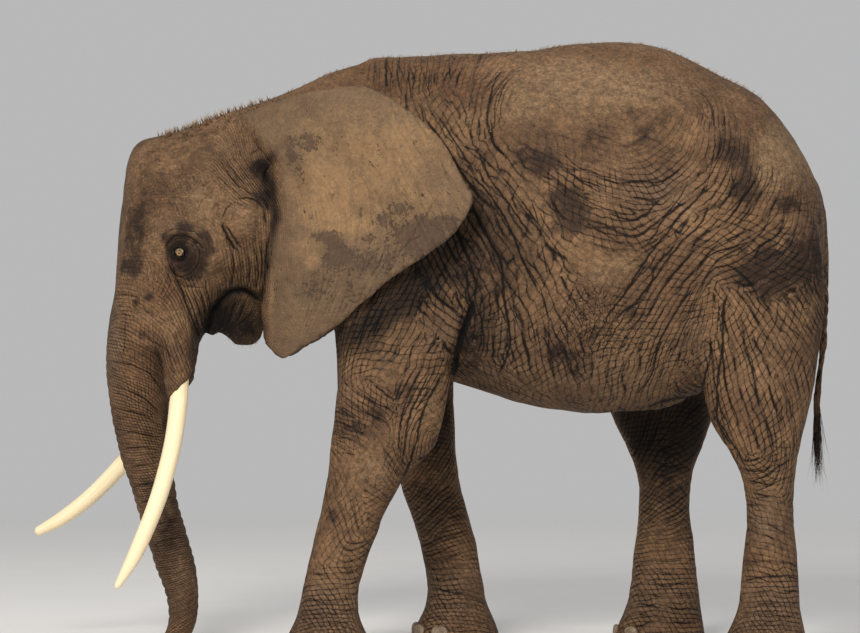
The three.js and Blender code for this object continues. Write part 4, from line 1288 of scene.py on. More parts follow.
@dataclass
class Stripes:
    """Even stripes over the skin that follow its wrinkles' lie, and fork where the lie spreads."""

    flesh: Surface
    across: Array  # the unit way across them at each corner; its sign is free
    pitch: Array  # millimetres from one to the next
    seed: int
    rounds: int = 70

    def turns(self, start: Array, end: Array) -> tuple[Array, Array]:
        """Measures steps from some corners to others in stripes.

        Args:
            start: Corners' numbers.
            end: Their neighbours' numbers.

        Returns:
            How many stripes lie between, as counted at the start, and 1 or -1: whether the end counts alike.
        """
        sense = np.where(np.einsum("ij,ij->i", self.across[start], self.across[end]) < 0, -1.0, 1.0)
        rate = self.across[start] / self.pitch[start, None]
        rate = rate + (sense / self.pitch[end])[:, None] * self.across[end]
        return np.einsum("ij,ij->i", rate, self.flesh.points[end] - self.flesh.points[start]) / 2, sense

    def solve(self) -> Array:
        """Relaxes the stripes over the mesh.

        Each corner has a phase, random at first. In each round it becomes the mean of its
        neighbours' phases, carried over by the stripes between. A triangle then counts on from its
        first corner, so that counts on both sides of an edge differ by a whole number.

        Returns:
            The stripes' count at each triangle's corners: whole numbers lie on a stripe.
        """
        start, end, count = self.flesh.neighbours()
        order = np.argsort(start, kind="stable")
        start, end = start[order], end[order]
        firsts = np.cumsum(count) - count
        turns, sense = self.turns(start, end)
        carry = np.exp(-2j * np.pi * turns)
        alike = sense > 0
        phase = np.exp(2j * np.pi * np.random.default_rng(self.seed).random(len(count)))
        for _ in range(self.rounds):
            far = phase[end]
            far = np.where(alike, far, far.conj()) * carry
            phase = np.add.reduceat(far, firsts) + phase
            phase /= np.maximum(np.abs(phase), 1e-9)
        a, b, c = self.flesh.triangles.T
        own = np.angle(phase) / (2 * np.pi)
        counts = [own[a]]
        for other in (b, c):
            turns, sense = self.turns(a, other)
            gap = sense * own[other] - own[a] - turns
            counts.append(own[a] + turns + gap - np.round(gap))
        return np.stack(counts, -1)


# ------------------------------------------------------------------ shader maths


class Sock:
    """A shader socket that can be used in arithmetic."""

    def __init__(self, graph: "Graph", socket: bpy.types.NodeSocket) -> None:
        """Keeps the socket and the graph that it is part of."""
        self.graph = graph
        self.socket = socket

    def __add__(self, other: Any) -> "Sock":
        """Returns self + other."""
        return self.graph.maths("ADD", self, other)

    def __radd__(self, other: Any) -> "Sock":
        """Returns other + self."""
        return self.graph.maths("ADD", other, self)

    def __sub__(self, other: Any) -> "Sock":
        """Returns self - other."""
        return self.graph.maths("SUBTRACT", self, other)

    def __rsub__(self, other: Any) -> "Sock":
        """Returns other - self."""
        return self.graph.maths("SUBTRACT", other, self)

    def __mul__(self, other: Any) -> "Sock":
        """Returns self * other."""
        return self.graph.maths("MULTIPLY", self, other)

    def __rmul__(self, other: Any) -> "Sock":
        """Returns other * self."""
        return self.graph.maths("MULTIPLY", other, self)

    def __truediv__(self, other: Any) -> "Sock":
        """Returns self / other."""
        return self.graph.maths("DIVIDE", self, other)

    def __rtruediv__(self, other: Any) -> "Sock":
        """Returns other / self."""
        return self.graph.maths("DIVIDE", other, self)

    def __pow__(self, other: Any) -> "Sock":
        """Returns self ** other."""
        return self.graph.maths("POWER", self, other)


class Graph:
    """The nodes of one material."""

    def __init__(self, name: str) -> None:
        """Makes a material with no nodes.

        Args:
            name: Its name.
        """
        self.material = bpy.data.materials.new(name)
        self.material.use_nodes = True
        self.tree = self.material.node_tree
        self.tree.nodes.clear()

    def node(self, kind: str, inputs: dict[Any, Any] | None = None, output: Any = 0, **settings: Any) -> Sock:
        """Adds a node.

        Args:
            kind: The node's type.
            inputs: Values or sockets by the input's name or number.
            output: The output that is returned, by name or number.
            settings: The node's own settings, which are set first.

        Returns:
            The chosen output.
        """
        made = self.tree.nodes.new(kind)
        for name, value in settings.items():
            setattr(made, name, value)
        for key, value in (inputs or {}).items():
            socket = self.input(made, key)
            if isinstance(value, Sock):
                self.tree.links.new(value.socket, socket)
            else:
                socket.default_value = value
        return Sock(self, made.outputs[output])

    @staticmethod
    def input(made: bpy.types.Node, key: Any) -> bpy.types.NodeSocket:
        """Finds an input of a node.

        Args:
            made: The node.
            key: The input's number, or the name or identifier of one that is in use.

        Returns:
            The input.
        """
        if isinstance(key, int):
            return made.inputs[key]
        return next(s for s in made.inputs if s.enabled and key in (s.name, s.identifier))

    def attribute(self, name: str, output: str = "Fac") -> Sock:
        """Returns a corner attribute."""
        return self.node("ShaderNodeAttribute", output=output, attribute_name=name)

    def place(self) -> Sock:
        """Returns the Object coordinates."""
        return self.node("ShaderNodeTexCoord", output="Object")

    def split(self, kind: str, value: Sock) -> list[Sock]:
        """Splits a colour or a vector.

        Args:
            kind: The type of the node that splits it.
            value: The colour or vector.

        Returns:
            Its three parts.
        """
        made = self.node(kind, {0: value}).socket.node
        return [Sock(self, made.outputs[i]) for i in range(3)]

    def maths(self, operation: str, left: Any, right: Any) -> Sock:
        """Adds a Math node for two values."""
        return self.node("ShaderNodeMath", {0: left, 1: right}, operation=operation)

    def clamp(self, value: Sock) -> Sock:
        """Returns a value kept between 0 and 1."""
        return self.node("ShaderNodeClamp", {0: value})

    def vector(self, operation: str, left: Any, right: Any = (0, 0, 0), scale: float | None = None) -> Sock:
        """Adds a Vector Math node.

        Args:
            operation: Its operation.
            left: The first vector.
            right: The second one.
            scale: The factor, for SCALE.

        Returns:
            The result, which is a number for a length or a dot product.
        """
        inputs = {0: left, 1: right} if scale is None else {0: left, "Scale": scale}
        output = "Value" if operation in ("LENGTH", "DOT_PRODUCT") else "Vector"
        return self.node("ShaderNodeVectorMath", inputs, output, operation=operation)

    def step(self, value: Any, low: float, high: float, start: float = 0.0, end: float = 1.0) -> Sock:
        """Returns a smooth step of a value from start at low to end at high."""
        inputs = {"Value": value, "From Min": low, "From Max": high, "To Min": start, "To Max": end}
        return self.node("ShaderNodeMapRange", inputs, interpolation_type="SMOOTHSTEP")

    def noise(self, at: Sock, scale: float, detail: float = 3.0, rough: float = 0.5,
              output: str = "Fac") -> Sock:
        """Returns fractal noise."""
        inputs = {"Vector": at, "Scale": scale, "Detail": detail, "Roughness": rough}
        return self.node("ShaderNodeTexNoise", inputs, output)

    def cells(self, at: Sock, scale: float) -> Sock:
        """Returns the distance to the edge of scattered cells."""
        inputs = {"Vector": at, "Scale": scale}
        return self.node("ShaderNodeTexVoronoi", inputs, "Distance", feature="DISTANCE_TO_EDGE")

    def mix(self, factor: Any, first: Any, second: Any, blend: str = "MIX") -> Sock:
        """Mixes two colours."""
        inputs = {"Factor_Float": factor, "A_Color": first, "B_Color": second}
        return self.node("ShaderNodeMix", inputs, 2, data_type="RGBA", blend_type=blend)

    def bump(self, height: Sock) -> Sock:
        """Returns the normal of a height in metres."""
        return self.node("ShaderNodeBump", {"Height": height, "Strength": 1.0, "Distance": 1.0})

    def finish(self, **sockets: Any) -> bpy.types.Material:
        """Adds the surface shader and the output.

        Args:
            sockets: Values or links of the shader's inputs, with _ for a blank in a name.

        Returns:
            The material.
        """
        inputs = {name.replace("_", " "): value for name, value in sockets.items()}
        shader = self.node("ShaderNodeBsdfPrincipled", inputs)
        made = self.tree.nodes.new("ShaderNodeOutputMaterial")
        self.tree.links.new(shader.socket, made.inputs["Surface"])
        return self.material


def tint(red: int, green: int, blue: int) -> Colour:
    """Turns a screen colour into linear light.

    Args:
        red: Its red part, 0 to 255.
        green: Its green part.
        blue: Its blue part.

    Returns:
        The colour for a shader.
    """
    parts = [value / 255 for value in (red, green, blue)]
    linear = [value / 12.92 if value <= 0.04045 else ((value + 0.055) / 1.055) ** 2.4 for value in parts]
    return (*linear, 1.0)


# ------------------------------------------------------------------ finishes


@dataclass(frozen=True)
class Cracks:
    """The skin's lines as sockets, each 1 at its darkest and 0 off it where nothing else is said."""

    deep: Sock
    main: Sock
    over: Sock
    net: Sock
    grain: Sock
    # the swellings also lighten the colour: dust with a painted highlight
    puff: Sock  # the skin that swells between two deep ones
    # the folds' darkness is painted shade in them, and along the ears' veins
    folds: Sock  # how dark the drawn folds are
    fold_depth: Sock  # in millimetres

    def crack_dirt_and_shade(self, soft: Sock) -> Sock:
        """Returns how dark all of them are together: dirt and painted shade in the cracks and folds."""
        wrinkled = (self.deep * 0.95 + self.main * 0.82 + self.over * 0.74 + self.net * 0.6) * soft
        return wrinkled + self.grain * 0.16 + self.folds * 0.17

    def height(self, soft: Sock) -> Sock:
        """Returns their height in metres."""
        return (
            (self.deep * -0.006 + (self.main + self.over + self.net) * -0.003 + self.puff * 0.0024
             + self.grain * -0.0008) * soft
            + self.fold_depth * -0.0005
        )


@dataclass(frozen=True)
class SkinFinish:
    """Thick, creased skin: brown mud on grey hide, dark in its cracks with dirt and painted shade, and
    lighter on its ridges with dust and a painted highlight.
    """

    mud: Colour = tint(95, 70, 49)
    clay: Colour = tint(121, 92, 65)
    umber: Colour = (0.19, 0.175, 0.2, 1.0)  # what a stain lets through
    dust: Colour = tint(132, 106, 78)
    ash: Colour = tint(94, 80, 68)
    # near black: the dirt and painted shade in the cracks, the painted shade, and the ears' specks of mud
    crack: Colour = tint(11, 7, 5)
    rust: Colour = tint(99, 67, 41)
    ear: Colour = tint(108, 86, 64)
    ear_light: Colour = tint(139, 109, 77)
    ear_dark: Colour = tint(80, 62, 49)

    @staticmethod
    def stripe(g: Graph, name: str, sway: Sock, pitch: Sock) -> Sock:
        """Returns the distance in metres to the nearest stripe, where the swayed count is whole."""
        return g.maths("PINGPONG", g.attribute(name) + sway, 0.5) * pitch

    @staticmethod
    def groove(away: Sock, width: Any) -> Sock:
        """Returns a groove's section: 1 / (1 + t²)², t the distance in widths."""
        t = away / width
        return (t * t + 1.0) ** -2.0

    def drawn(self, g: Graph, at: Sock) -> tuple[Sock, Sock]:
        """Reads the drawn folds.

        Args:
            g: The material's nodes.
            at: The place.

        Returns:
            How dark the deepest is, which is painted shade, and the sum of their depths in millimetres.
        """
        sway = (g.noise(at, 34, 2) - 0.5) * 14.0
        uneven = g.step(g.noise(at, 12, 2), 0.25, 0.6, 0.45, 1.15)
        dark, deep = [], []
        for channel in range(CHANNELS):
            signed, depth, width = g.split("ShaderNodeSeparateXYZ", g.attribute(f"fold_{channel}", "Vector"))
            dark.append(self.groove(signed + sway, width * 0.5) * depth)
            deep.append(self.groove(signed + sway, width * 0.8) * depth)
        return reduce(partial(g.maths, "MAXIMUM"), dark) * uneven, reduce(add, deep) * uneven

    def cracks(self, g: Graph, at: Sock) -> Cracks:
        """Makes the wrinkles from the stripes, the finer net from cells, and reads the drawn folds.

        Args:
            g: The material's nodes.
            at: The place.

        Returns:
            All the lines of the skin.
        """
        colour = g.noise(at, 11, 3, 0.55, "Color")
        sway, cut, drift = (part - 0.5 for part in g.split("ShaderNodeSeparateColor", colour))
        warp = g.vector("SCALE", g.vector("SUBTRACT", colour, (0.5, 0.5, 0.5)), scale=0.025)
        strength, cross, cell, pitch = (g.attribute(name) for name in ("lines", "cross", "cells", "pitch"))
        broken = g.noise(at, 8, 4, 0.62)
        wide = self.stripe(g, "stripe_deep", sway * 0.3, pitch * DEEP_PITCH)
        deep = self.groove(wide, pitch * 0.17) * g.step(broken + cut * 0.9, 0.42, 0.62)
        deep = deep * g.step(strength, 0.1, 0.9) * g.step(pitch, 0.013, 0.022)
        narrow = self.groove(
            self.stripe(g, "stripe_main", drift * 1.6, pitch), pitch * g.step(broken, 0.3, 0.7, 0.09, 0.16),
        )
        main = narrow * g.step(broken + drift, 0.3, 0.62, 0.5, 1.0)
        over = self.groove(self.stripe(g, "stripe_over", cut * 1.6, pitch * OVER_PITCH), pitch * 0.12)
        over = over * g.step(broken + sway, 0.34, 0.62, 0.35, 1.0)
        net = g.step(g.cells(g.vector("ADD", at, warp), 44), 0.0, 0.1, 1.0, 0.0)
        folds, fold_depth = self.drawn(g, at)
        return Cracks(
            deep=deep,
            main=main * g.step(strength + cell * 0.5, 0.0, 0.85),
            over=over * g.step(cross + cell * 0.4 + strength * 0.15, 0.0, 0.8),
            net=net * (cell * 0.9 + 0.1),
            grain=g.step(g.cells(at, 115), 0.0, 0.24, 1.0, 0.0),
            puff=g.step(wide, 0.0, 0.014) * strength,
            folds=folds,
            fold_depth=fold_depth,
        )

    def earth(self, g: Graph, at: Sock, mottle: Sock, ragged: Sock) -> Sock:
        """Returns the body's colour: mud and clay under ash, dust and reddish earth.

        Args:
            g: The material's nodes.
            at: The place.
            mottle: A blotchy noise.
            ragged: What frays the edges of the dust.

        Returns:
            The colour.
        """
        base = g.mix(g.step(g.noise(at, 4.5, 5, 0.65), 0.35, 0.66), self.mud, self.clay)
        base = g.mix(g.attribute("ash") * g.step(mottle, 0.3, 0.7), base, self.ash)
        base = g.mix(g.step(g.attribute("dust") + ragged * 0.7, 0.12, 0.9) * 0.75, base, self.dust)
        return g.mix(g.attribute("rust") * g.step(mottle, 0.2, 0.7), base, self.rust)

    def ears(self, g: Graph, at: Sock, gritty: Sock, ragged: Sock) -> Sock:
        """Returns the ears' colour, with mud in ragged patches and specks round them.

        Args:
            g: The material's nodes.
            at: The place.
            gritty: A fine noise.
            ragged: What frays the edges of the mud.

        Returns:
            The colour.
        """
        muddy = g.attribute("ear_dark")
        spread = muddy + ragged
        tan = g.mix(g.step(g.attribute("ear_light") + ragged * 0.55, 0.0, 0.8), self.ear, self.ear_light)
        tan = g.mix(g.step(g.noise(at, 6, 4, 0.62), 0.46, 0.66) * 0.4, tan, self.ear_dark)
        tan = g.mix(g.step(spread, 0.3, 0.46) * 0.85, tan, self.ear_dark)
        specks = g.step(spread, 0.2, 0.3) * g.step(spread, 0.4, 0.56, 1.0, 0.0) * g.step(gritty, 0.5, 0.56)
        return g.mix(specks * g.step(muddy, 0.05, 0.25) * 0.6, tan, self.crack)

    def eye_creases(self, g: Graph, at: Sock) -> Sock:
        """Draws the fine creases between the eye and its outermost ring, which are grooved and get painted
        shade.

        Args:
            g: The material's nodes.
            at: The place.

        Returns:
            1 in a crease, 0 off it.
        """
        orbit = g.attribute("orbit")
        away = g.maths("PINGPONG", orbit + (g.noise(at, 26, 2) - 0.5) * 0.34, CREASE_GAP / 2)
        creased = self.groove(away, 0.014) * g.step(orbit, 0.5, 0.66) * g.step(orbit, 1.0, 1.25, 1.0, 0.0)
        return creased * g.step(g.noise(at, 40, 2), 0.35, 0.55)

    def build(self) -> bpy.types.Material:
        """Makes the material.

        Returns:
            The material, whose colour is darkened by dirt and painted shade in the cracks, and by the painted
            shade.
        """
        g = Graph("hide")
        at = g.place()
        ear = g.attribute("ear")
        soft = 1.0 - ear * 0.78
        cracks = self.cracks(g, at)
        crack_dirt_and_shade = cracks.crack_dirt_and_shade(soft)
        mottle = g.noise(at, 32, 5, 0.74)
        gritty = g.noise(at, 85, 3, 0.7)
        ragged = (g.noise(at, 17, 7, 0.78) - 0.5) * 2.6 + (gritty - 0.5) * 1.0 + cracks.main * 0.2
        base = g.mix(ear, self.earth(g, at, mottle, ragged), self.ears(g, at, gritty, ragged))
        stained = g.mix(1.0, base, self.umber, "MULTIPLY")
        base = g.mix(g.step(g.attribute("stain") + ragged, 0.12, 0.95) * 0.95, base, stained)
        speckle = g.step(mottle, 0.28, 0.72, 0.58, 1.38) * g.step(gritty, 0.25, 0.75, 0.68, 1.28)
        # the swellings between deep wrinkles are lightened: dust with a painted highlight
        speckle = (speckle - 1.0) * (1.0 - ear * 0.62) + cracks.puff * soft * 0.3 + 0.94
        grey = g.node("ShaderNodeCombineColor", {0: speckle, 1: speckle, 2: speckle})
        base = g.mix(1.0, base, grey, "MULTIPLY")
        # darkens the cracks and folds: dirt with painted shade
        base = g.mix(g.clamp(crack_dirt_and_shade) * 0.94, base, self.crack)
        creased = self.eye_creases(g, at)
        # painted shade: it darkens the colour towards the crack colour, more in the cracks and the creases
        # round the eyes
        shade = g.attribute("painted_shade")
        shade = g.clamp(shade * (crack_dirt_and_shade * 0.3 + 0.86) + shade * (1.0 - shade) * ragged * 2.4 + creased * 0.6)
        height = (
            cracks.height(soft) + g.noise(at, 230, 4, 0.7) * 0.0011 + g.noise(at, 38, 3, 0.6) * 0.0034
            + creased * -0.0012
        )
        rough = g.step(mottle, 0.2, 0.8, 0.62, 0.84) + shade * 0.15
        return g.finish(
            Base_Color=g.mix(shade, base, self.crack), Roughness=rough, Normal=g.bump(height),
            Specular_IOR_Level=0.2,
        )


@dataclass(frozen=True)
class IvoryFinish:
    """Worn ivory: cream, streaked along its length and browner by its root."""

    cream: Colour = tint(239, 216, 171)
    pale: Colour = tint(247, 231, 199)
    honey: Colour = tint(206, 172, 118)
    dirt: Colour = tint(122, 92, 60)

    def build(self) -> bpy.types.Material:
        """Makes the material.

        Returns:
            The material.
        """
        g = Graph("ivory")
        length = g.attribute("length")
        turn = g.attribute("turn", "Vector")
        drawn = g.node("ShaderNodeCombineXYZ", {0: length * 1.6, 1: 0.0, 2: 0.0})
        at = g.vector("ADD", g.vector("SCALE", turn, scale=4.0), drawn)
        streak = g.noise(at, 3.2, 5, 0.6)
        crack = g.noise(at, 9.0, 3, 0.6)
        base = g.mix(g.step(streak, 0.38, 0.66), self.cream, self.pale)
        base = g.mix(g.step(length + streak * 0.25, 0.42, 0.1) * 0.75, base, self.honey)
        base = g.mix(g.step(crack, 0.62, 0.78) * 0.45, base, self.honey)
        base = g.mix(g.step(length, 0.1, 0.03) * 0.7, base, self.dirt)
        height = streak * 0.0009 + crack * 0.0005 + g.noise(g.place(), 60, 3) * 0.0006
        rough = g.step(streak, 0.3, 0.7, 0.28, 0.46)
        return g.finish(Base_Color=base, Roughness=rough, Normal=g.bump(height), Specular_IOR_Level=0.5)


@dataclass(frozen=True)
class EyeFinish:
    """A wet eye: a cream iris round a dark pupil, on a nearly black ball with a painted reflection as a pale
    upper edge.
    """

    pupil: Colour = tint(6, 4, 3)
    cream: Colour = tint(178, 143, 104)
    amber: Colour = tint(132, 96, 60)
    # the colour of the painted reflection of the light on the wet ball
    wet: Colour = tint(196, 174, 138)
    dark: Colour = tint(16, 11, 8)

    def build(self) -> bpy.types.Material:
        """Makes the material.

        Returns:
            The material.
        """
        g = Graph("eye")
        away = g.attribute("gaze")  # degrees from the middle of the iris
        way = g.attribute("ray", "Vector")
        ray = g.noise(way, 7.0, 3, 0.6)
        up = g.vector("DOT_PRODUCT", way, (-0.1, 0.0, 1.0))
        iris = g.mix(g.step(away + ray * 8.0, 14.0, 32.0), self.cream, self.amber)
        iris = g.mix(g.step(ray, 0.45, 0.7) * 0.35, iris, self.amber)
        base = g.mix(g.step(away, 9.0, 11.0), self.pupil, iris)
        base = g.mix(g.step(away, 28.0, 31.0), base, self.dark)
        # a pale crescent along the upper edge of the iris: a painted reflection of the light above
        reach = g.step(up, -0.1, 0.8, 38.0, 57.0) - away
        painted_reflection = g.step(reach, -2.0, 8.0) * g.step(away, 31.0, 36.0) * g.step(up, -0.1, 0.2)
        painted_reflection = painted_reflection * g.step(g.vector("DOT_PRODUCT", way, (1.0, 0.0, 0.0)), -0.9, 0.3, 0.4, 1.0)
        base = g.mix(painted_reflection * g.step(ray, 0.3, 0.5, 0.75, 1.0), base, self.wet)
        return g.finish(Base_Color=base, Roughness=0.12, Coat_Weight=0.3, Coat_Roughness=0.05, IOR=1.36)


@dataclass(frozen=True)
class NailFinish:
    """Worn horn, ridged upwards and chalky at its edge."""

    horn: Colour = tint(112, 94, 74)
    chalk: Colour = tint(146, 128, 104)
    soil: Colour = tint(66, 50, 38)

    def build(self) -> bpy.types.Material:
        """Makes the material.

        Returns:
            The material.
        """
        g = Graph("nail")
        at = g.place()
        ridged = g.noise(g.vector("MULTIPLY", at, (1.0, 1.0, 0.12)), 260, 3, 0.6)
        blotch = g.noise(at, 26, 4, 0.6)
        base = g.mix(g.step(ridged, 0.35, 0.7), self.horn, self.chalk)
        base = g.mix(g.step(blotch, 0.45, 0.7) * 0.7, base, self.soil)
        height = ridged * 0.0016 + blotch * 0.002
        return g.finish(Base_Color=base, Roughness=g.step(blotch, 0.3, 0.7, 0.5, 0.75), Normal=g.bump(height))


@dataclass(frozen=True)
class HairFinish:
    """Stiff hair, paler towards its tip."""

    name: str
    root: Colour = tint(26, 18, 13)
    tip: Colour = tint(70, 50, 34)

    def build(self) -> bpy.types.Material:
        """Makes the material.

        Returns:
            The material.
        """
        g = Graph(self.name)
        share = g.attribute("share")
        base = g.mix(g.step(share + g.noise(g.place(), 30, 2) * 0.5, 0.5, 1.2), self.root, self.tip)
        return g.finish(Base_Color=base, Roughness=0.45, Specular_IOR_Level=0.4)


# ------------------------------------------------------------------ the skin

LEGS = tuple(f"{pair}leg_{side}_{part}" for pair in ("fore", "hind") for side in ("left", "right")
             for part in ("upper", "lower", "foot"))
FLESH_NODES = (
    "torso", "neck", "head", "jaw", "trunk_upper", "trunk_middle", "trunk_tip", "ear_left", "ear_right",
    "tail", *LEGS,
)


@dataclass(frozen=True)
class Eyelids:
    """Heavy lids on a bulge, ringed by creases that reach lower down than up."""

    front: float = 53.0
    rear: float = 80.0
    above: float = 63.0
    below: float = 96.0
    slit: tuple[float, float, float, float] = (27.0, 23.0, 23.0, 16.0)  # to front, rear, above, below
    reach: float = 2.2  # how many rings the lids' bulge takes up
    soft: float = 7.0  # over how much depth the dome melts into the face
    sunk: float = 6.0  # how far behind the ball's middle the slit ends
    far: float = 9.0  # the ring of what is nowhere near an eye

    def ring(self, dx: Array, dz: Array) -> Array:
        """Returns the place between the eye's middle, 0, and its outermost crease, 1."""
        wide, high = np.where(dx < 0, self.front, self.rear), np.where(dz > 0, self.above, self.below)
        return np.hypot(dx / wide, dz / high)

    def rings(self, points: Array) -> Array:
        """Reads the rings at points.

        Args:
            points: The points.

        Returns:
            Each point's place among the rings.
        """
        dx, dz = points[:, 0] - EYE[0], points[:, 2] - EYE[2]
        near = np.abs(points[:, 1]) > 180
        return np.where(near, np.minimum(self.ring(dx, dz), self.far), self.far)

    def shape(self, flesh: Surface) -> None:
        """Moves the skin near each eye straight out or in.

        The lids are a dome round the eyeball, joined to the face by a soft maximum, with
        creases pressed in along the rings and an almond slit pushed in behind the ball.

        Args:
            flesh: The skin.
        """
        points = flesh.points
        dx, dz = points[:, 0] - EYE[0], points[:, 2] - EYE[2]
        out = np.abs(points[:, 1])
        ring = self.ring(dx, dz)
        chosen = (ring < self.reach) & (out > 200)
        dx, dz, ring, base = dx[chosen], dz[chosen], ring[chosen], out[chosen]
        r = np.hypot(dx, dz)
        dome = EYE[1] + np.sqrt(np.maximum(LID_DOME**2 - r**2, 0)) - 12 * fade(r, 28, 44)
        face = base - 7 * bell(ring, 0.86, 0.3) + 5 * bell(ring, 1.35, 0.25) * (dz > 0)
        lids = self.soft * np.logaddexp(dome / self.soft, face / self.soft)
        lids = np.where(r > 75, face, lids)
        lids -= 3.0 * bell(ring, 1.0, 0.06) * (0.6 + 0.4 * (dz > 0))
        lids -= 2.2 * bell(ring, 0.78, 0.05) + 1.6 * bell(ring, 0.62, 0.045)
        turned = dz + LID_SLANT * dx
        slit = np.hypot(
            dx / np.where(dx < 0, self.slit[0], self.slit[1]),
            turned / np.where(turned > 0, self.slit[2], self.slit[3]),
        )
        lids += 2.2 * bell(slit, 1.16, 0.14)
        behind = EYE[1] - self.sunk
        lids = lids + (behind - lids) * (1 - fade(slit, 0.9, 1.04))
        points[chosen, 1] = np.sign(points[chosen, 1]) * lids


# the painted shade in the creases round an eye: place among the rings, width, darkness
LID_CREASE_SHADE = table("1 0.05 0.85, 0.78 0.045 0.7, 0.62 0.05 0.6, 1.17 0.03 0.35")


@dataclass
class Markings:
    """What the finish reads at the corners of the skin."""

    data: bpy.types.Mesh
    skin: Surface
    ears: Array  # how surely each corner lies on an ear
    ring: Array  # its place among the rings round an eye
    shift: tuple[float, float] = (110.0, -40.0)  # how far the right side's stains are moved
    relief: float = 4.0  # how far the skin swells between deep wrinkles

    def __post_init__(self) -> None:
        """Adds the normals, how calm the skin is round the eyes, and how surely it has the ears' colour."""
        x, _, z = self.skin.points.T
        self.normals = self.skin.normals()
        self.calm = fade(self.ring, 0.7, 1.3)
        high = fade(z, 1650, 1850)
        self.tan = self.ears * fade(x + lead(z), -690 + 45 * high, -655 + 75 * high)

    def set(self, name: str, values: Array) -> None:
        """Stores a value for each corner."""
        set_attribute(self.data, name, values)

    def stripes(self) -> None:
        """Stores the wrinkles' stripes, pitch and strength, and lets the skin swell between the deep ones."""
        points = self.skin.points
        x, y, z = points.T
        far = fade(y, -40, 40) * (1 - fade(z, 1000, 1150)) * fade(x, -700, -600)
        across, line, values = lie_of_wrinkles(points, self.normals, far)
        pitch = np.maximum(values[:, 0] * (0.62 + 0.26 * fade(x, -620, -450)), 10)
        pitch *= 1 + patches(on_drawing(points), WIDER)
        loops = np.empty(self.skin.triangles.size, np.int32)
        self.data.loop_triangles.foreach_get("loops", loops)
        slanted = 0.87 * line + 0.5 * across  # 60 degrees from the others
        kinds = (("deep", across, DEEP_PITCH), ("main", across, 1.0), ("over", slanted, OVER_PITCH))
        for seed, (name, way, scale) in enumerate(kinds):
            solved = Stripes(self.skin, way, pitch * scale, seed).solve().ravel()
            if name == "deep":
                firm = values[:, 1] * self.calm * (1 - self.ears) * fade(pitch, 13, 22) * fade(z, 100, 200)
                self.swollen(solved, firm)
            counts = np.empty(len(loops))
            counts[loops] = solved
            set_attribute(self.data, f"stripe_{name}", counts, "CORNER")
        self.data.update()
        self.set("pitch", pitch / METRE)
        for i, name in enumerate(("lines", "cross", "cells"), 1):
            self.set(name, values[:, i] * self.calm)

    def swollen(self, counts: Array, firm: Array) -> None:
        """Bends the deep stripes a little, and moves the skin by a smooth step of the way from them.

        Args:
            counts: The stripes' counts at the triangles' corners, which are changed.
            firm: How much of the relief each corner of the mesh takes.
        """
        points, corners = self.skin.points, self.skin.triangles.ravel()
        counts += 0.2 * swell(points, 190, 21)[corners]
        apart = np.empty(len(points))
        apart[corners] = np.abs(counts - np.round(counts))
        rise = (fade(apart, 0.0, 0.36) - 0.65) * self.relief * firm
        FRAME.write(self.data, points + self.normals * rise[:, None])

    def colours(self) -> None:
        """Stores where mud, dust, ash and reddish earth lie, and the ears' own colours."""
        points, tan = self.skin.points, self.tan
        body = 1 - self.ears
        right = np.where(points[:, 1] > 0, 1.0, 0.0)
        places = on_drawing(points) + right[:, None] * np.array(self.shift)
        flank = 1 - fade(np.abs(self.normals[:, 0]), 0.86, 0.99)
        self.set("stain", patches(places, STAINS) * body * 1.15 * flank)
        self.set("ear", tan)
        for name, ovals, share in (
            ("dust", DUST, body), ("ash", ASH, body), ("rust", RUST, body), ("ear_dark", EAR_DARK, tan),
            ("ear_light", EAR_LIGHT, tan),
        ):
            self.set(name, patches(places, ovals) * share)

    def painted_shade(self) -> None:
        """Stores the painted shade: the pit round an eye, partly its black skin, the creases round it, and
        the drawn shadows.
        """
        ring, tan = self.ring, self.tan
        x, y, z = self.skin.points.T
        self.set("orbit", ring)
        # the pit round an eye: black lid skin, darkened further by painted shade under the lids
        pit = np.where(ring < 2, np.hypot((x - EYE[0] + 9) / 40, (z - EYE[2] - 7) / 42), 9)
        lids = 0.98 * (1 - fade(pit, 0.78, 1.25)) + 0.3 * (1 - fade(ring, 0.7, 1.1))
        for place, wide, amount in LID_CREASE_SHADE:
            lids = np.maximum(lids, amount * bell(ring, place, wide))
        lids = np.clip(lids, 0, 1)
        sight = on_drawing(self.skin.points)
        right = fade(y, -30, 30) * fade(x, -300, -200)
        # painted shade and shadows drawn on the side view; on the right legs only on the sides that face left
        shade = patches(sight, PAINTED_SHADE) * (1 - tan) * (1 - right) + patches(sight, EAR_PAINTED_SHADE) * tan
        shade += patches(sight, PAINTED_SHADE_FAR) * right * fade(-self.normals[:, 1], 0.05, 0.6)
        shade = 1 - (1 - shade) * (1 - patches(sight, CREVICE_PAINTED_SHADE) * (1 - 0.7 * tan))
        self.set("painted_shade", np.clip(1 - (1 - lids) * (1 - shade), 0, 0.97))


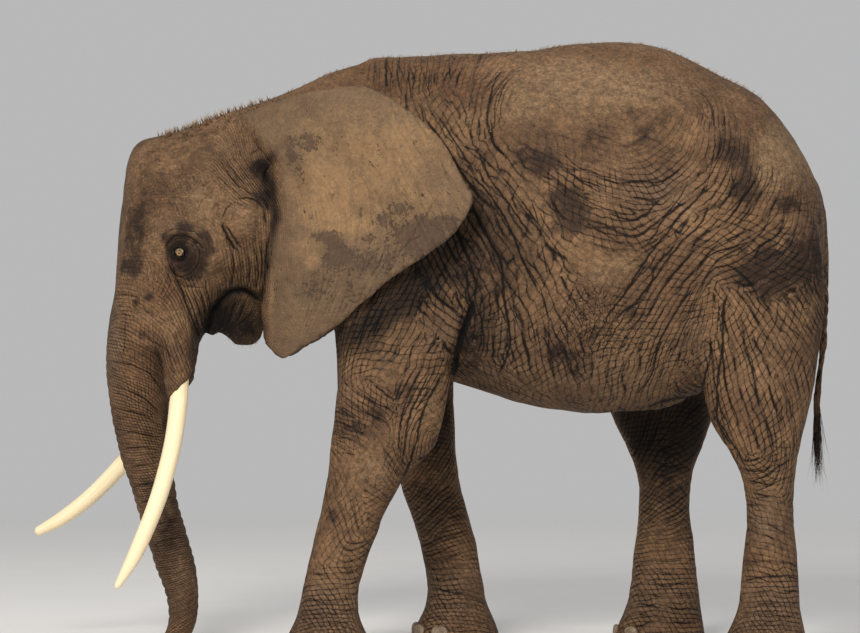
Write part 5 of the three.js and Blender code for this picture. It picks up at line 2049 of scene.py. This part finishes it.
@dataclass
class Hide:
    """Her whole skin as one closed surface."""

    drawing: Drawing
    voxel: float = 7.5
    budget: int = 172_000
    lip: float = 84.0  # how far a lip's front hangs down
    trunk_ring: float = 36.0  # from one ring of the trunk to the next
    eye_rings: tuple[float, float] = (1.25, 0.8)  # inside which the mesh is divided once more
    trunk_rear: tuple[float, float] = (-1010.0, -960.0)  # between which x the trunk's relief ends
    pad: tuple[float, float] = (7.0, 62.0)  # height and width of the pad behind a nail
    seam: tuple[float, float, float] = (4.0, 42.0, 7.0)  # depth, distance and width of the line round it
    lids: Eyelids = field(default_factory=Eyelids)

    def forms(self) -> list[Surface]:
        """Makes the forms that the flesh is the union of.

        Returns:
            The closed surfaces.
        """
        forms = [
            Body.along(TORSO).surface(112), Body.along(CROWN).surface(96), Body.upright(FACE).surface(96),
            Body.upright(JAW).surface(64), Body.tube(TRUNK).surface(72), Body.tube(TAIL, -1).surface(28),
            *blocks(MIDDLE_BLOCKS),
        ]
        for side in Side:
            forms += [Body.tube(SHEATHS[side], side.value).surface(48), *blocks(KNOBS, side.value)]
        forms += [Body.upright(foot.stations, foot.side.value).surface(64) for foot in FEET]
        return forms + [ear.surface() for ear in EARS]

    def hollows(self) -> list[Surface]:
        """Makes the cleft of the mouth and the two nostrils.

        Returns:
            The closed surfaces.
        """
        nostrils = [Body.tube(NOSTRIL, side.value).surface(28) for side in Side]
        clefts = [block for side in Side for block in blocks(CLEFT, side.value)]
        return clefts + nostrils

    def flesh(self) -> Surface:
        """Joins the forms by voxels and takes the hollows out of them.

        Returns:
            One closed surface.
        """
        solid = modified(
            FRAME.mesh("flesh", joined(self.forms())), "REMESH", mode="VOXEL", voxel_size=self.voxel / METRE,
        )
        block = bpy.data.objects.new("block", solid)
        bpy.context.scene.collection.objects.link(block)
        cutter = FRAME.mesh("cutter", joined(self.hollows()))
        result = modified(block, "BOOLEAN", operation="DIFFERENCE", solver="MANIFOLD", object=cutter)
        drop(cutter)
        return FRAME.take(result)

    @staticmethod
    def on_ears(points: Array) -> Array:
        """Tells how surely points lie on either ear."""
        left = points[:, 1] < 0
        return np.where(left, EARS[0].holds(points), EARS[1].holds(points))

    def ease(self, flesh: Surface) -> None:
        """Smooths the voxels away and fills the creases where forms meet.

        Args:
            flesh: The flesh.
        """
        ears = self.on_ears(flesh.points)
        x, _, z = flesh.points.T
        mouth = np.exp(-(((x + 900) / 110) ** 2) - ((z - 1380) / 130) ** 2)
        tip = 1 - fade(z, 60, 150)
        flesh.ease(4, 0.5 * (1 - 0.5 * ears))
        flesh.ease(70, 0.65 * (1 - 0.85 * ears) * (1 - mouth) * (1 - tip), 1.0)
        flesh.ease(5, 0.5 * (1 - ears) * (1 - tip))

    def relieve(self, flesh: Surface) -> None:
        """Hangs the lips aslant over the tusks, presses the folds in and lets the muscles swell.

        A lip's front is drawn down; folds and muscles move the skin along its normals.

        Args:
            flesh: The flesh.
        """
        points = flesh.points
        sheath = fade(np.abs(points[:, 1]), 138, 170) * (1 - fade(np.abs(points[:, 0] + 1052), 80, 112))
        front = np.clip((-1000 - points[:, 0]) / 95, 0, 1)
        points[:, 2] -= self.lip * sheath * front * (1 - fade(points[:, 2], 1150, 1290))
        ears = self.on_ears(points)
        body = 1 - ears
        x, _, z = points.T
        normals = flesh.normals()
        lift = -self.drawing.pressed(points, ears)
        high = fade(z, 150, 400)
        lift += body * high * (3.2 * swell(points, 330, 1) + 1.5 * swell(points, 130, 2))
        trunk = (1 - fade(x, *self.trunk_rear)) * (1 - fade(z, 1180, 1480)) * fade(z, 60, 160)
        rings = np.abs(np.sin(np.pi * (z + 0.25 * x + 9 * swell(points, 160, 3)) / self.trunk_ring))
        lift += trunk * (3.6 + 3.0 * (1 - fade(z, 500, 1100))) * (rings**0.5 - 0.75)
        for oval in BULGES:
            lift += mound(points, oval) * body
        lift += ears * 2.0 * swell(points, 210, 5) * fade(x, -640, -520)
        points += normals * lift[:, None]
        for foot in FEET:
            self.toes(points, foot)
        points[:, 2] = np.maximum(points[:, 2], 0.0)

    def toes(self, points: Array, foot: Foot) -> None:
        """Raises a pad behind each nail and sinks a line round it.

        Args:
            points: The flesh's corners, which are moved.
            foot: The foot.
        """
        near = (points[:, 2] < 190) & (np.linalg.norm(points[:, :2] - foot.middle(), axis=1) < 260)
        for degrees in foot.angles:
            way, place = foot.toe(degrees)
            flat = ((points[near][:, :2] - place) ** 2).sum(1)
            away = np.sqrt(flat + (points[near][:, 2] - foot.nail[3]) ** 2)
            push = self.pad[0] * bell(away, 0, self.pad[1]) - self.seam[0] * bell(away, *self.seam[1:])
            points[near, 0] += way[0] * push
            points[near, 1] += way[1] * push

    def keep(self, points: Array, ears: Array) -> Array:
        """Works out how dense the mesh stays.

        Args:
            points: The corners.
            ears: How surely each lies on an ear.

        Returns:
            1 round the eyes, a little less on the head, and less on the trunk, the feet and the flanks.
        """
        x, _, z = points.T
        head = (1 - fade(x, -720, -560)) * fade(z, 1150, 1300)
        eye = bell(self.lids.rings(points), 0, 1.3)
        trunk = 0.75 * (1 - fade(x, *self.trunk_rear)) * (1 - fade(z, 1200, 1300))
        feet = 0.55 * (1 - fade(z, 90, 200))
        tail = 0.9 * fade(x, 1600, 1640) * (1 - fade(z, 1700, 1800))
        face = 0.8 * head + 0.2 * eye
        flank = np.full(len(x), 0.3)
        return np.clip(np.maximum.reduce([face, trunk, feet, tail, flank, 0.35 * ears]), 0, 1)

    def thinned(self, flesh: Surface) -> bpy.types.Object:
        """Brings the mesh down to its budget, sparing what is kept dense.

        Args:
            flesh: The flesh.

        Returns:
            The skin, without the few faces that lie back to back.
        """
        item = FRAME.mesh("skin", flesh)
        weight = self.keep(flesh.points, self.on_ears(flesh.points))
        group = item.vertex_groups.new(name="keep")
        levels = np.round(weight * 10).astype(int)
        for level in range(1, 11):
            group.add(np.nonzero(levels == level)[0].tolist(), level / 10, "REPLACE")
        ratio = self.budget / len(flesh.triangles)
        data = modified(
            item, "DECIMATE", ratio=ratio, vertex_group="keep", invert_vertex_group=True,
            vertex_group_factor=0.5, use_collapse_triangulate=True,
        )
        thin = FRAME.take(data)
        faces = np.sort(thin.triangles, axis=1)
        _, group, counts = np.unique(faces, axis=0, return_inverse=True, return_counts=True)
        single = thin.triangles[counts[group.ravel()] == 1]
        LOG.info("doubled triangles: %d", len(thin.triangles) - len(single))
        used = np.unique(single)
        return FRAME.mesh("skin", Surface(thin.points[used], np.searchsorted(used, single)))

    def refined(self, item: bpy.types.Object) -> None:
        """Divides the triangles near the eyes, once for each size of ring.

        Args:
            item: The skin.
        """
        data = item.data
        for size in self.eye_rings:
            work = bmesh.new()
            work.from_mesh(data)
            ring = self.lids.rings(FRAME.read(data).points)
            near = ring < size
            work.verts.ensure_lookup_table()
            edges = [edge for edge in work.edges if near[edge.verts[0].index] and near[edge.verts[1].index]]
            bmesh.ops.subdivide_edges(work, edges=edges, cuts=1)
            bmesh.ops.triangulate(work, faces=work.faces[:])
            work.to_mesh(data)
            work.free()

    def dress(self, item: bpy.types.Object) -> None:
        """Stores what the skin's finish reads.

        Args:
            item: The skin.
        """
        data = item.data
        skin = FRAME.read(data)
        ears = self.on_ears(skin.points)
        self.drawing.store(data, skin.points, ears)
        markings = Markings(data, skin, ears, self.lids.rings(skin.points))
        markings.stripes()
        markings.colours()
        markings.painted_shade()
        data.polygons.foreach_set("use_smooth", np.ones(len(data.polygons), bool))

    def build(self) -> bpy.types.Object:
        """Makes the skin, from the flesh to its finish.

        Returns:
            The piece.
        """
        flesh = self.flesh()
        LOG.info("flesh: %d triangles", len(flesh.triangles))
        self.ease(flesh)
        LOG.info("eased")
        self.relieve(flesh)
        LOG.info("relieved")
        item = self.thinned(flesh)
        self.refined(item)
        skin = FRAME.read(item.data)
        self.lids.shape(skin)
        FRAME.write(item.data, skin.points)
        item.data.update()
        self.dress(item)
        settle(item, SkinFinish().build(), "skin", *FLESH_NODES)
        return item


def settle(item: bpy.types.Object, finish: bpy.types.Material, slot: str, *nodes: str) -> None:
    """Gives a piece its finish, rides it on the body and reports it.

    Args:
        item: The piece.
        finish: Its material.
        slot: The name of its slot; not used.
        nodes: The nodes that it stands for.
    """
    item.data.materials.append(finish)
    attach(item, "root")
    if nodes:
        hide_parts(*nodes)
    item.data.calc_loop_triangles()
    LOG.info("%s: %d triangles", item.name, len(item.data.loop_triangles))


# ------------------------------------------------------------------ eyes, tusks and nails


@dataclass
class Eyeball:
    """A ball with a bulging cornea that looks out and a little ahead."""

    side: Side
    around: int = 72
    levels: int = 56
    bulge: float = 2.0
    edge: float = 0.56  # how far the cornea reaches from its middle, in radians
    sunk: float = 0.4  # how much smaller the ball is than its socket
    gaze: tuple[float, float, float] = (-0.16, 1.0, -0.02)

    def build(self, finish: bpy.types.Material) -> bpy.types.Object:
        """Makes the ball round its gaze: its radius plus the cornea's bulge at each angle from it.

        Args:
            finish: Its material.

        Returns:
            The piece.
        """
        radius = EYE_RADIUS - self.sunk
        look = np.array(self.gaze) * np.array([1, self.side.value, 1])
        look /= np.linalg.norm(look)
        first = np.cross(look, [0, 0, 1.0])
        first /= np.linalg.norm(first)
        second = np.cross(look, first)
        away = np.linspace(0, np.pi, self.levels + 1)[1:-1, None]
        turn = np.linspace(0, 2 * np.pi, self.around, endpoint=False)[None, :]
        reach = radius + self.bulge * (1 - fade(away, 0, self.edge))
        rays = (
            np.cos(away)[..., None] * look + (np.sin(away) * np.cos(turn))[..., None] * first
            + (np.sin(away) * np.sin(turn))[..., None] * second
        )
        centre = EYE * np.array([1, self.side.value, 1])
        poles = [centre + look * (radius + self.bulge), centre - look * radius]
        surface = closed_tube(centre + rays * reach[..., None], *poles)
        name = self.side.name.lower()
        item = FRAME.mesh(f"eyeball_{name}", surface)
        way = normed(surface.points - centre)
        set_attribute(item.data, "gaze", np.degrees(np.arccos(np.clip(way @ look, -1, 1))))
        flat = way - (way @ look)[:, None] * look
        set_attribute(item.data, "ray", normed(flat))
        settle(item, finish, "eye", f"eye_{name}")
        return item


@dataclass
class Tusk:
    """A slender tusk that curves ahead and out."""

    side: Side
    around: int = 56
    steps: int = 22
    blunt: float = 0.985  # where its end starts to round off, as a share of its length
    blunt_run: float = 0.0152  # over how much of its length it would come to a point

    def build(self, finish: bpy.types.Material) -> bpy.types.Object:
        """Makes the tusk along its path, its end rounded off.

        Args:
            finish: Its material.

        Returns:
            The piece.
        """
        rows = TUSKS[self.side]
        body = Body.tube(rows, self.side.value)
        surface = body.surface(self.around, self.steps)
        name = self.side.name.lower()
        rings = (len(rows) - 1) * self.steps + 1
        share = np.concatenate([[0], np.repeat(np.linspace(0, 1, rings), self.around), [1]])
        middle = body.read(share * (len(rows) - 1))[:, :3]
        round_off = np.sqrt(np.clip(1 - np.maximum(share - self.blunt, 0) / self.blunt_run, 0, 1))
        points = middle + (surface.points - middle) * round_off[:, None]
        item = FRAME.mesh(f"ivory_{name}", Surface(points, surface.triangles))
        set_attribute(item.data, "length", share)
        set_attribute(item.data, "turn", normed(surface.points - middle))
        settle(item, finish, "ivory", f"tusk_{name}")
        return item


@dataclass
class Toenails:
    """The nails of one foot: flat domes set round its front."""

    foot: Foot
    sunk: float = 0.965  # how much of the foot's reach they stand out by
    clear: float = 2.5  # the level of their lower edge
    slim: float = 0.94  # their width, in the size given for the foot
    square: float = 2.5  # 2 is an ellipsoid, more is boxier

    def build(self, finish: bpy.types.Material) -> bpy.types.Object:
        """Makes the foot's nails as one piece of closed domes, flattened at the floor.

        Args:
            finish: Their material.

        Returns:
            The piece.
        """
        foot = self.foot
        depth, width, height, level = foot.nail
        nails = []
        for degrees in foot.angles:
            _, place = foot.toe(degrees, self.sunk)
            radii = (depth, width * self.slim, height)
            turned = -foot.side.value * degrees
            nail = ellipsoid((*place, level), radii, square=self.square, heading=turned, around=44)
            nail.points[:, 2] = np.maximum(nail.points[:, 2], self.clear)
            nails.append(nail)
        item = FRAME.mesh(foot.name, joined(nails))
        settle(item, finish, "nail")
        return item


# ------------------------------------------------------------------ hair


def unwrapped(roots: Array) -> Array:
    """Returns places on an unwrap of the skin: the turn about the body's axis, and the way along it."""
    turn = np.arctan2(roots[:, 1], roots[:, 2] - 1300) / (2 * np.pi) + 0.5
    return np.stack([turn * 0.98, (roots[:, 0] + 1800) / 3600], -1)


@dataclass
class Strands:
    """Stiff hairs, each a three-sided blade that tapers and bends."""

    name: str
    roots: Array
    ways: Array  # where each sets out, as a unit vector
    bends: Array  # how far its tip is drawn aside, in its own lengths
    lengths: Array
    widths: Array
    segments: int = 4
    patch: float = 0.003

    def build(self, finish: bpy.types.Material, *nodes: str) -> bpy.types.Object:
        """Makes the hairs as one mesh.

        A hair's middle line is root + way * length * t + bend * length * t². Its three corners
        stand round that line at width * (1 - t)^0.6, and it is closed at both ends.

        Args:
            finish: Their material.
            nodes: The nodes that the piece stands for.

        Returns:
            The piece.
        """
        count = len(self.roots)
        t = np.linspace(0, 1, self.segments + 1)[:-1]
        line = (
            self.roots[:, None] + self.ways[:, None] * (self.lengths[:, None, None] * t[None, :, None])
            + self.bends[:, None] * (self.lengths[:, None, None] * (t**2)[None, :, None])
        )
        tip = self.roots + (self.ways + self.bends) * self.lengths[:, None]
        first = normed(np.cross(self.ways, [0.31, 0.87, 0.39]))
        second = np.cross(self.ways, first)
        angle = np.array([0, 2 * np.pi / 3, 4 * np.pi / 3])
        ring = first[:, None] * np.cos(angle)[None, :, None] + second[:, None] * np.sin(angle)[None, :, None]
        thick = self.widths[:, None] * ((1 - t) ** 0.6)[None]
        grid = line[:, :, None] + ring[:, None] * thick[..., None, None]
        each = 3 * self.segments + 1
        points = np.concatenate([grid.reshape(count, -1, 3), tip[:, None]], 1).reshape(-1, 3)
        ids = np.arange(3 * self.segments).reshape(self.segments, 3)
        turn = np.roll(ids, -1, axis=1)
        quads = [np.stack(c, -1).reshape(-1, 3) for c in (
            (ids[:-1], turn[:-1], turn[1:]), (ids[:-1], turn[1:], ids[1:]),
        )]
        top = np.stack([ids[-1], turn[-1], np.full(3, each - 1)], -1)
        single = np.concatenate([*quads, top, [[0, 2, 1]]])
        triangles = (single[None] + (np.arange(count) * each)[:, None, None]).reshape(-1, 3)
        item = FRAME.mesh(self.name, Surface(points, triangles))
        share = np.concatenate([np.repeat(t, 3), [1.0]])
        set_attribute(item.data, "share", np.tile(share, count))
        home = unwrapped(self.roots)
        aside = np.concatenate([np.tile([0, 0.5, 1], self.segments), [0.5]])
        local = np.stack([aside, share], -1) * self.patch
        uv = (home[:, None] + local[None]).reshape(-1, 2)
        layer = item.data.uv_layers.new(name="OFBake")
        layer.data.foreach_set("uv", uv[triangles.ravel()].astype(np.float32).ravel())
        settle(item, finish, "hair", *nodes)
        return item


@dataclass
class Coat:
    """The elephant's sparse hair: on crown, back, chin and tail, and her lashes."""

    skin: bpy.types.Object
    seed: int = 5
    sunk: float = 2.0  # how deep a bristle's root lies in the skin
    lash_count: int = 34
    tuft_count: int = 190

    def grown(self, name: str, tufts: int, each: int, density: Callable[[Array, Array], Array],
              length: tuple[float, float], width: float, lean: Array,
              finish: bpy.types.Material) -> bpy.types.Object:
        """Grows hairs out of the skin in small tufts.

        Args:
            name: The piece's name.
            tufts: How many tufts.
            each: How many hairs a tuft has.
            density: How likely each face's middle and normal are to bear one.
            length: The shortest and longest hair.
            width: A hair's radius at its root.
            lean: The way in which all are drawn besides the skin's own normal.
            finish: Their material.

        Returns:
            The piece.
        """
        surface = FRAME.read(self.skin.data)
        a, b, c = (surface.points[surface.triangles[:, i]] for i in range(3))
        cross = np.cross(b - a, c - a)
        area = np.linalg.norm(cross, axis=1)
        normal = cross / np.maximum(area, 1e-9)[:, None]
        chance = area * density((a + b + c) / 3, normal)
        draw = np.random.default_rng(self.seed + len(name))
        count = tufts * each
        face = np.repeat(draw.choice(len(area), tufts, p=chance / chance.sum()), each)
        u, v = draw.random((2, count, 1))
        u, v = np.where(u + v > 1, 1 - u, u), np.where(u + v > 1, 1 - v, v)
        roots = a[face] + (b - a)[face] * u + (c - a)[face] * v - normal[face] * self.sunk
        ways = normal[face] + lean + np.repeat(draw.normal(0, 0.26, (tufts, 3)), each, 0)
        ways = normed(ways + draw.normal(0, 0.1, (count, 3)))
        bends = draw.normal(0, 0.16, (count, 3)) + lean * 0.2
        lengths = np.repeat(draw.uniform(*length, tufts), each) * draw.uniform(0.7, 1.0, count)
        return Strands(name, roots, ways, bends, lengths, np.full(count, width), segments=3).build(finish)

    def lashes(self, side: Side, finish: bpy.types.Material) -> bpy.types.Object:
        """Sets long lashes along the upper lid's edge.

        Args:
            side: The eye's side.
            finish: Their material.

        Returns:
            The piece.
        """
        draw = np.random.default_rng(self.seed + side.value)
        count = self.lash_count
        share = draw.uniform(-0.92, 0.96, count)
        dx = share * 25
        dz = 21 * np.sqrt(1 - share**2) - LID_SLANT * dx + draw.uniform(0, 3, count)
        r = np.hypot(dx, dz)
        out = EYE[1] + np.sqrt(np.maximum(LID_DOME**2 - r**2, 40)) + 1
        roots = np.stack([EYE[0] + dx, side.value * out, EYE[2] + dz], -1)
        ways = np.stack([share * 0.5 - 0.15, np.full(count, side.value * 1.0), np.full(count, -0.25)], -1)
        ways = normed(ways + draw.normal(0, 0.12, (count, 3)))
        bends = np.tile([-0.1, 0, -0.62], (count, 1)) + draw.normal(0, 0.05, (count, 3))
        lengths = draw.uniform(24, 44, count)
        name = f"lashes_{side.name.lower()}"
        return Strands(name, roots, ways, bends, lengths, np.full(count, 0.5), segments=4).build(finish)

    def tuft(self, finish: bpy.types.Material) -> bpy.types.Object:
        """Hangs the tail's long hair from the sides of its end.

        Args:
            finish: Its material.

        Returns:
            The piece.
        """
        draw = np.random.default_rng(self.seed)
        count = self.tuft_count
        level = draw.uniform(888, 1040, count) - draw.exponential(6, count)
        level = np.maximum(level, 880)
        path = Body.tube(TAIL, -1).stations
        x, y, half = (np.interp(-level, -path[:, 2], path[:, i]) for i in (0, 1, 3))
        angle = draw.uniform(0, 2 * np.pi, count)
        away = np.stack([np.cos(angle), np.sin(angle), np.zeros(count)], -1)
        roots = np.stack([x, y, level], -1) + away * (half * 0.7)[:, None]
        ways = normed(away * draw.uniform(0.0, 0.14, count)[:, None] + np.array([0.03, 0, -1.0]))
        bends = -away * draw.uniform(0.0, 0.2, count)[:, None] + draw.normal(0, 0.07, (count, 3))
        lengths = np.minimum(draw.uniform(90, 340, count), (level - 660) * draw.uniform(0.6, 0.98, count))
        widths = draw.uniform(0.7, 1.3, count)
        hair = Strands("tail_hair", roots, ways, bends, lengths, widths, segments=7)
        return hair.build(finish, "tail_tuft")

    def build(self) -> None:
        """Grows all of it."""
        brown = HairFinish("bristle", tint(92, 68, 45), tint(168, 136, 94)).build()
        black = HairFinish("tail_hair").build()

        def crown(at: Array, normal: Array) -> Array:
            """Spreads tufts over the top of the head.

            Args:
                at: The faces' middles.
                normal: Their normals.

            Returns:
                How likely each is to bear a tuft.
            """
            x, y, z = at.T
            return (
                fade(normal[:, 2], 0.25, 0.6) * fade(x, -1190, -1080) * (1 - fade(x, -820, -620))
                * (1 - fade(np.abs(y), 60, 200)) * (z > 1900)
            )

        def back(at: Array, normal: Array) -> Array:
            """Spreads tufts along the neck and the back.

            Args:
                at: The faces' middles.
                normal: Their normals.

            Returns:
                How likely each is to bear a tuft.
            """
            x, y, _ = at.T
            return fade(normal[:, 2], 0.6, 0.9) * fade(x, -800, -500) * (1 - fade(np.abs(y), 60, 260))

        def chin(at: Array, normal: Array) -> Array:
            """Spreads tufts under the jaw.

            Args:
                at: The faces' middles.
                normal: Their normals.

            Returns:
                How likely each is to bear a tuft.
            """
            x, y, z = at.T
            return (
                fade(-normal[:, 2], 0.1, 0.6) * (1 - fade(z, 1300, 1380)) * fade(z, 1240, 1270)
                * fade(x, -960, -900) * (1 - fade(x, -720, -680)) * (np.abs(y) < 130)
            )

        up, rearward, down = np.array([-0.1, 0, 0.6]), np.array([0.5, 0, 0.2]), np.array([-0.1, 0, -0.5])
        self.grown("crown_bristles", 260, 5, crown, length=(14, 36), width=0.9, lean=up, finish=brown)
        self.grown("back_bristles", 620, 4, back, length=(8, 22), width=0.7, lean=rearward, finish=brown)
        self.grown("chin_bristles", 60, 2, chin, length=(8, 20), width=0.5, lean=down, finish=brown)
        for side in Side:
            self.lashes(side, black)
        self.tuft(black)


# ------------------------------------------------------------------ the studio


@dataclass
class Studio:
    """A level camera, a pale floor and soft light."""

    lens: float = 138.5
    sensor: float = 36.0
    floor_radius: float = 30.0
    floor_sides: int = 96
    middle: tuple[float, float, float] = (0.0, 0.0, 1.3)  # what the lights face

    def camera(self) -> None:
        """Places the camera square to her left side."""
        data = bpy.data.cameras.new("camera")
        data.sensor_width, data.lens = self.sensor, self.lens
        data.clip_end = 200
        item = bpy.data.objects.new("camera", data)
        item.location = (FRAME.shift[0] / METRE, -VIEW_DISTANCE / METRE, VIEW_HEIGHT / METRE)
        item.rotation_euler = (math.pi / 2, 0, 0)
        bpy.context.scene.collection.objects.link(item)
        bpy.context.scene.camera = item

    def floor(self) -> None:
        """Lays a round floor that fades into the pale surroundings."""
        turn = np.linspace(0, 2 * np.pi, self.floor_sides, endpoint=False)
        rim = np.stack([np.cos(turn), np.sin(turn), np.zeros_like(turn)], -1) * self.floor_radius * METRE
        ids = np.arange(1, self.floor_sides + 1)
        triangles = np.stack([np.zeros_like(ids), ids, np.roll(ids, -1)], -1)
        points = np.concatenate([[[0.0, 0.0, 0.0]], rim])
        item = FRAME.mesh("floor", Surface(points - FRAME.shift, triangles))
        g = Graph("floor")
        away = g.vector("LENGTH", g.place())
        soft = g.noise(g.place(), 3.0, 3)
        base = g.mix(soft, tint(226, 225, 223), tint(232, 231, 229))
        g.finish(Base_Color=base, Roughness=0.9, Alpha=g.step(away, 5.0, 11.0, 1.0, 0.0))
        item.data.materials.append(g.material)

    def light(self, name: str, place: tuple[float, float, float], size: float, power: float,
              colour: tuple[float, float, float] = (1.0, 1.0, 1.0)) -> None:
        """Hangs a square soft light that faces her middle.

        Args:
            name: Its name.
            place: Where it hangs, in metres.
            size: The length of its side.
            power: Its watts.
            colour: Its colour.
        """
        data = bpy.data.lights.new(name, "AREA")
        data.size, data.energy, data.color = size, power, colour
        item = bpy.data.objects.new(name, data)
        item.location = place
        back = np.array(place) - np.array(self.middle)
        level = math.hypot(back[0], back[1])
        item.rotation_euler = (math.atan2(level, back[2]), 0, math.atan2(back[0], -back[1]) if level else 0.0)
        bpy.context.scene.collection.objects.link(item)

    def build(self) -> None:
        """Sets up camera, floor, lights and surroundings."""
        self.camera()
        self.floor()
        self.light("key", (-3.0, -9.0, 7.0), size=3.6, power=1060, colour=(1.0, 0.97, 0.92))
        self.light("top", (0.8, 0.0, 7.0), size=4.0, power=60, colour=(1.0, 0.97, 0.93))
        self.light("fill", (7.0, -7.0, 3.0), size=3.0, power=110)
        world = bpy.data.worlds.new("surroundings")
        world.use_nodes = True
        node = world.node_tree.nodes["Background"]
        node.inputs["Color"].default_value = (0.86, 0.86, 0.86, 1)
        node.inputs["Strength"].default_value = 0.56
        bpy.context.scene.world = world
        bpy.context.scene.view_settings.view_transform = "Standard"


def main() -> None:
    """Builds the elephant piece by piece."""
    logging.basicConfig(level=logging.INFO, format="%(relativeCreated)7d %(message)s")
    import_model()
    FRAME.settle()
    Studio().build()
    drawing = Drawing()
    drawing.draw()
    skin = Hide(drawing).build()
    wet, ivory, horn = EyeFinish().build(), IvoryFinish().build(), NailFinish().build()
    for side in Side:
        Eyeball(side).build(wet)
        Tusk(side).build(ivory)
    for foot in FEET:
        Toenails(foot).build(horn)
    Coat(skin).build()
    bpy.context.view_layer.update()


if __name__ == "__main__":
    main()
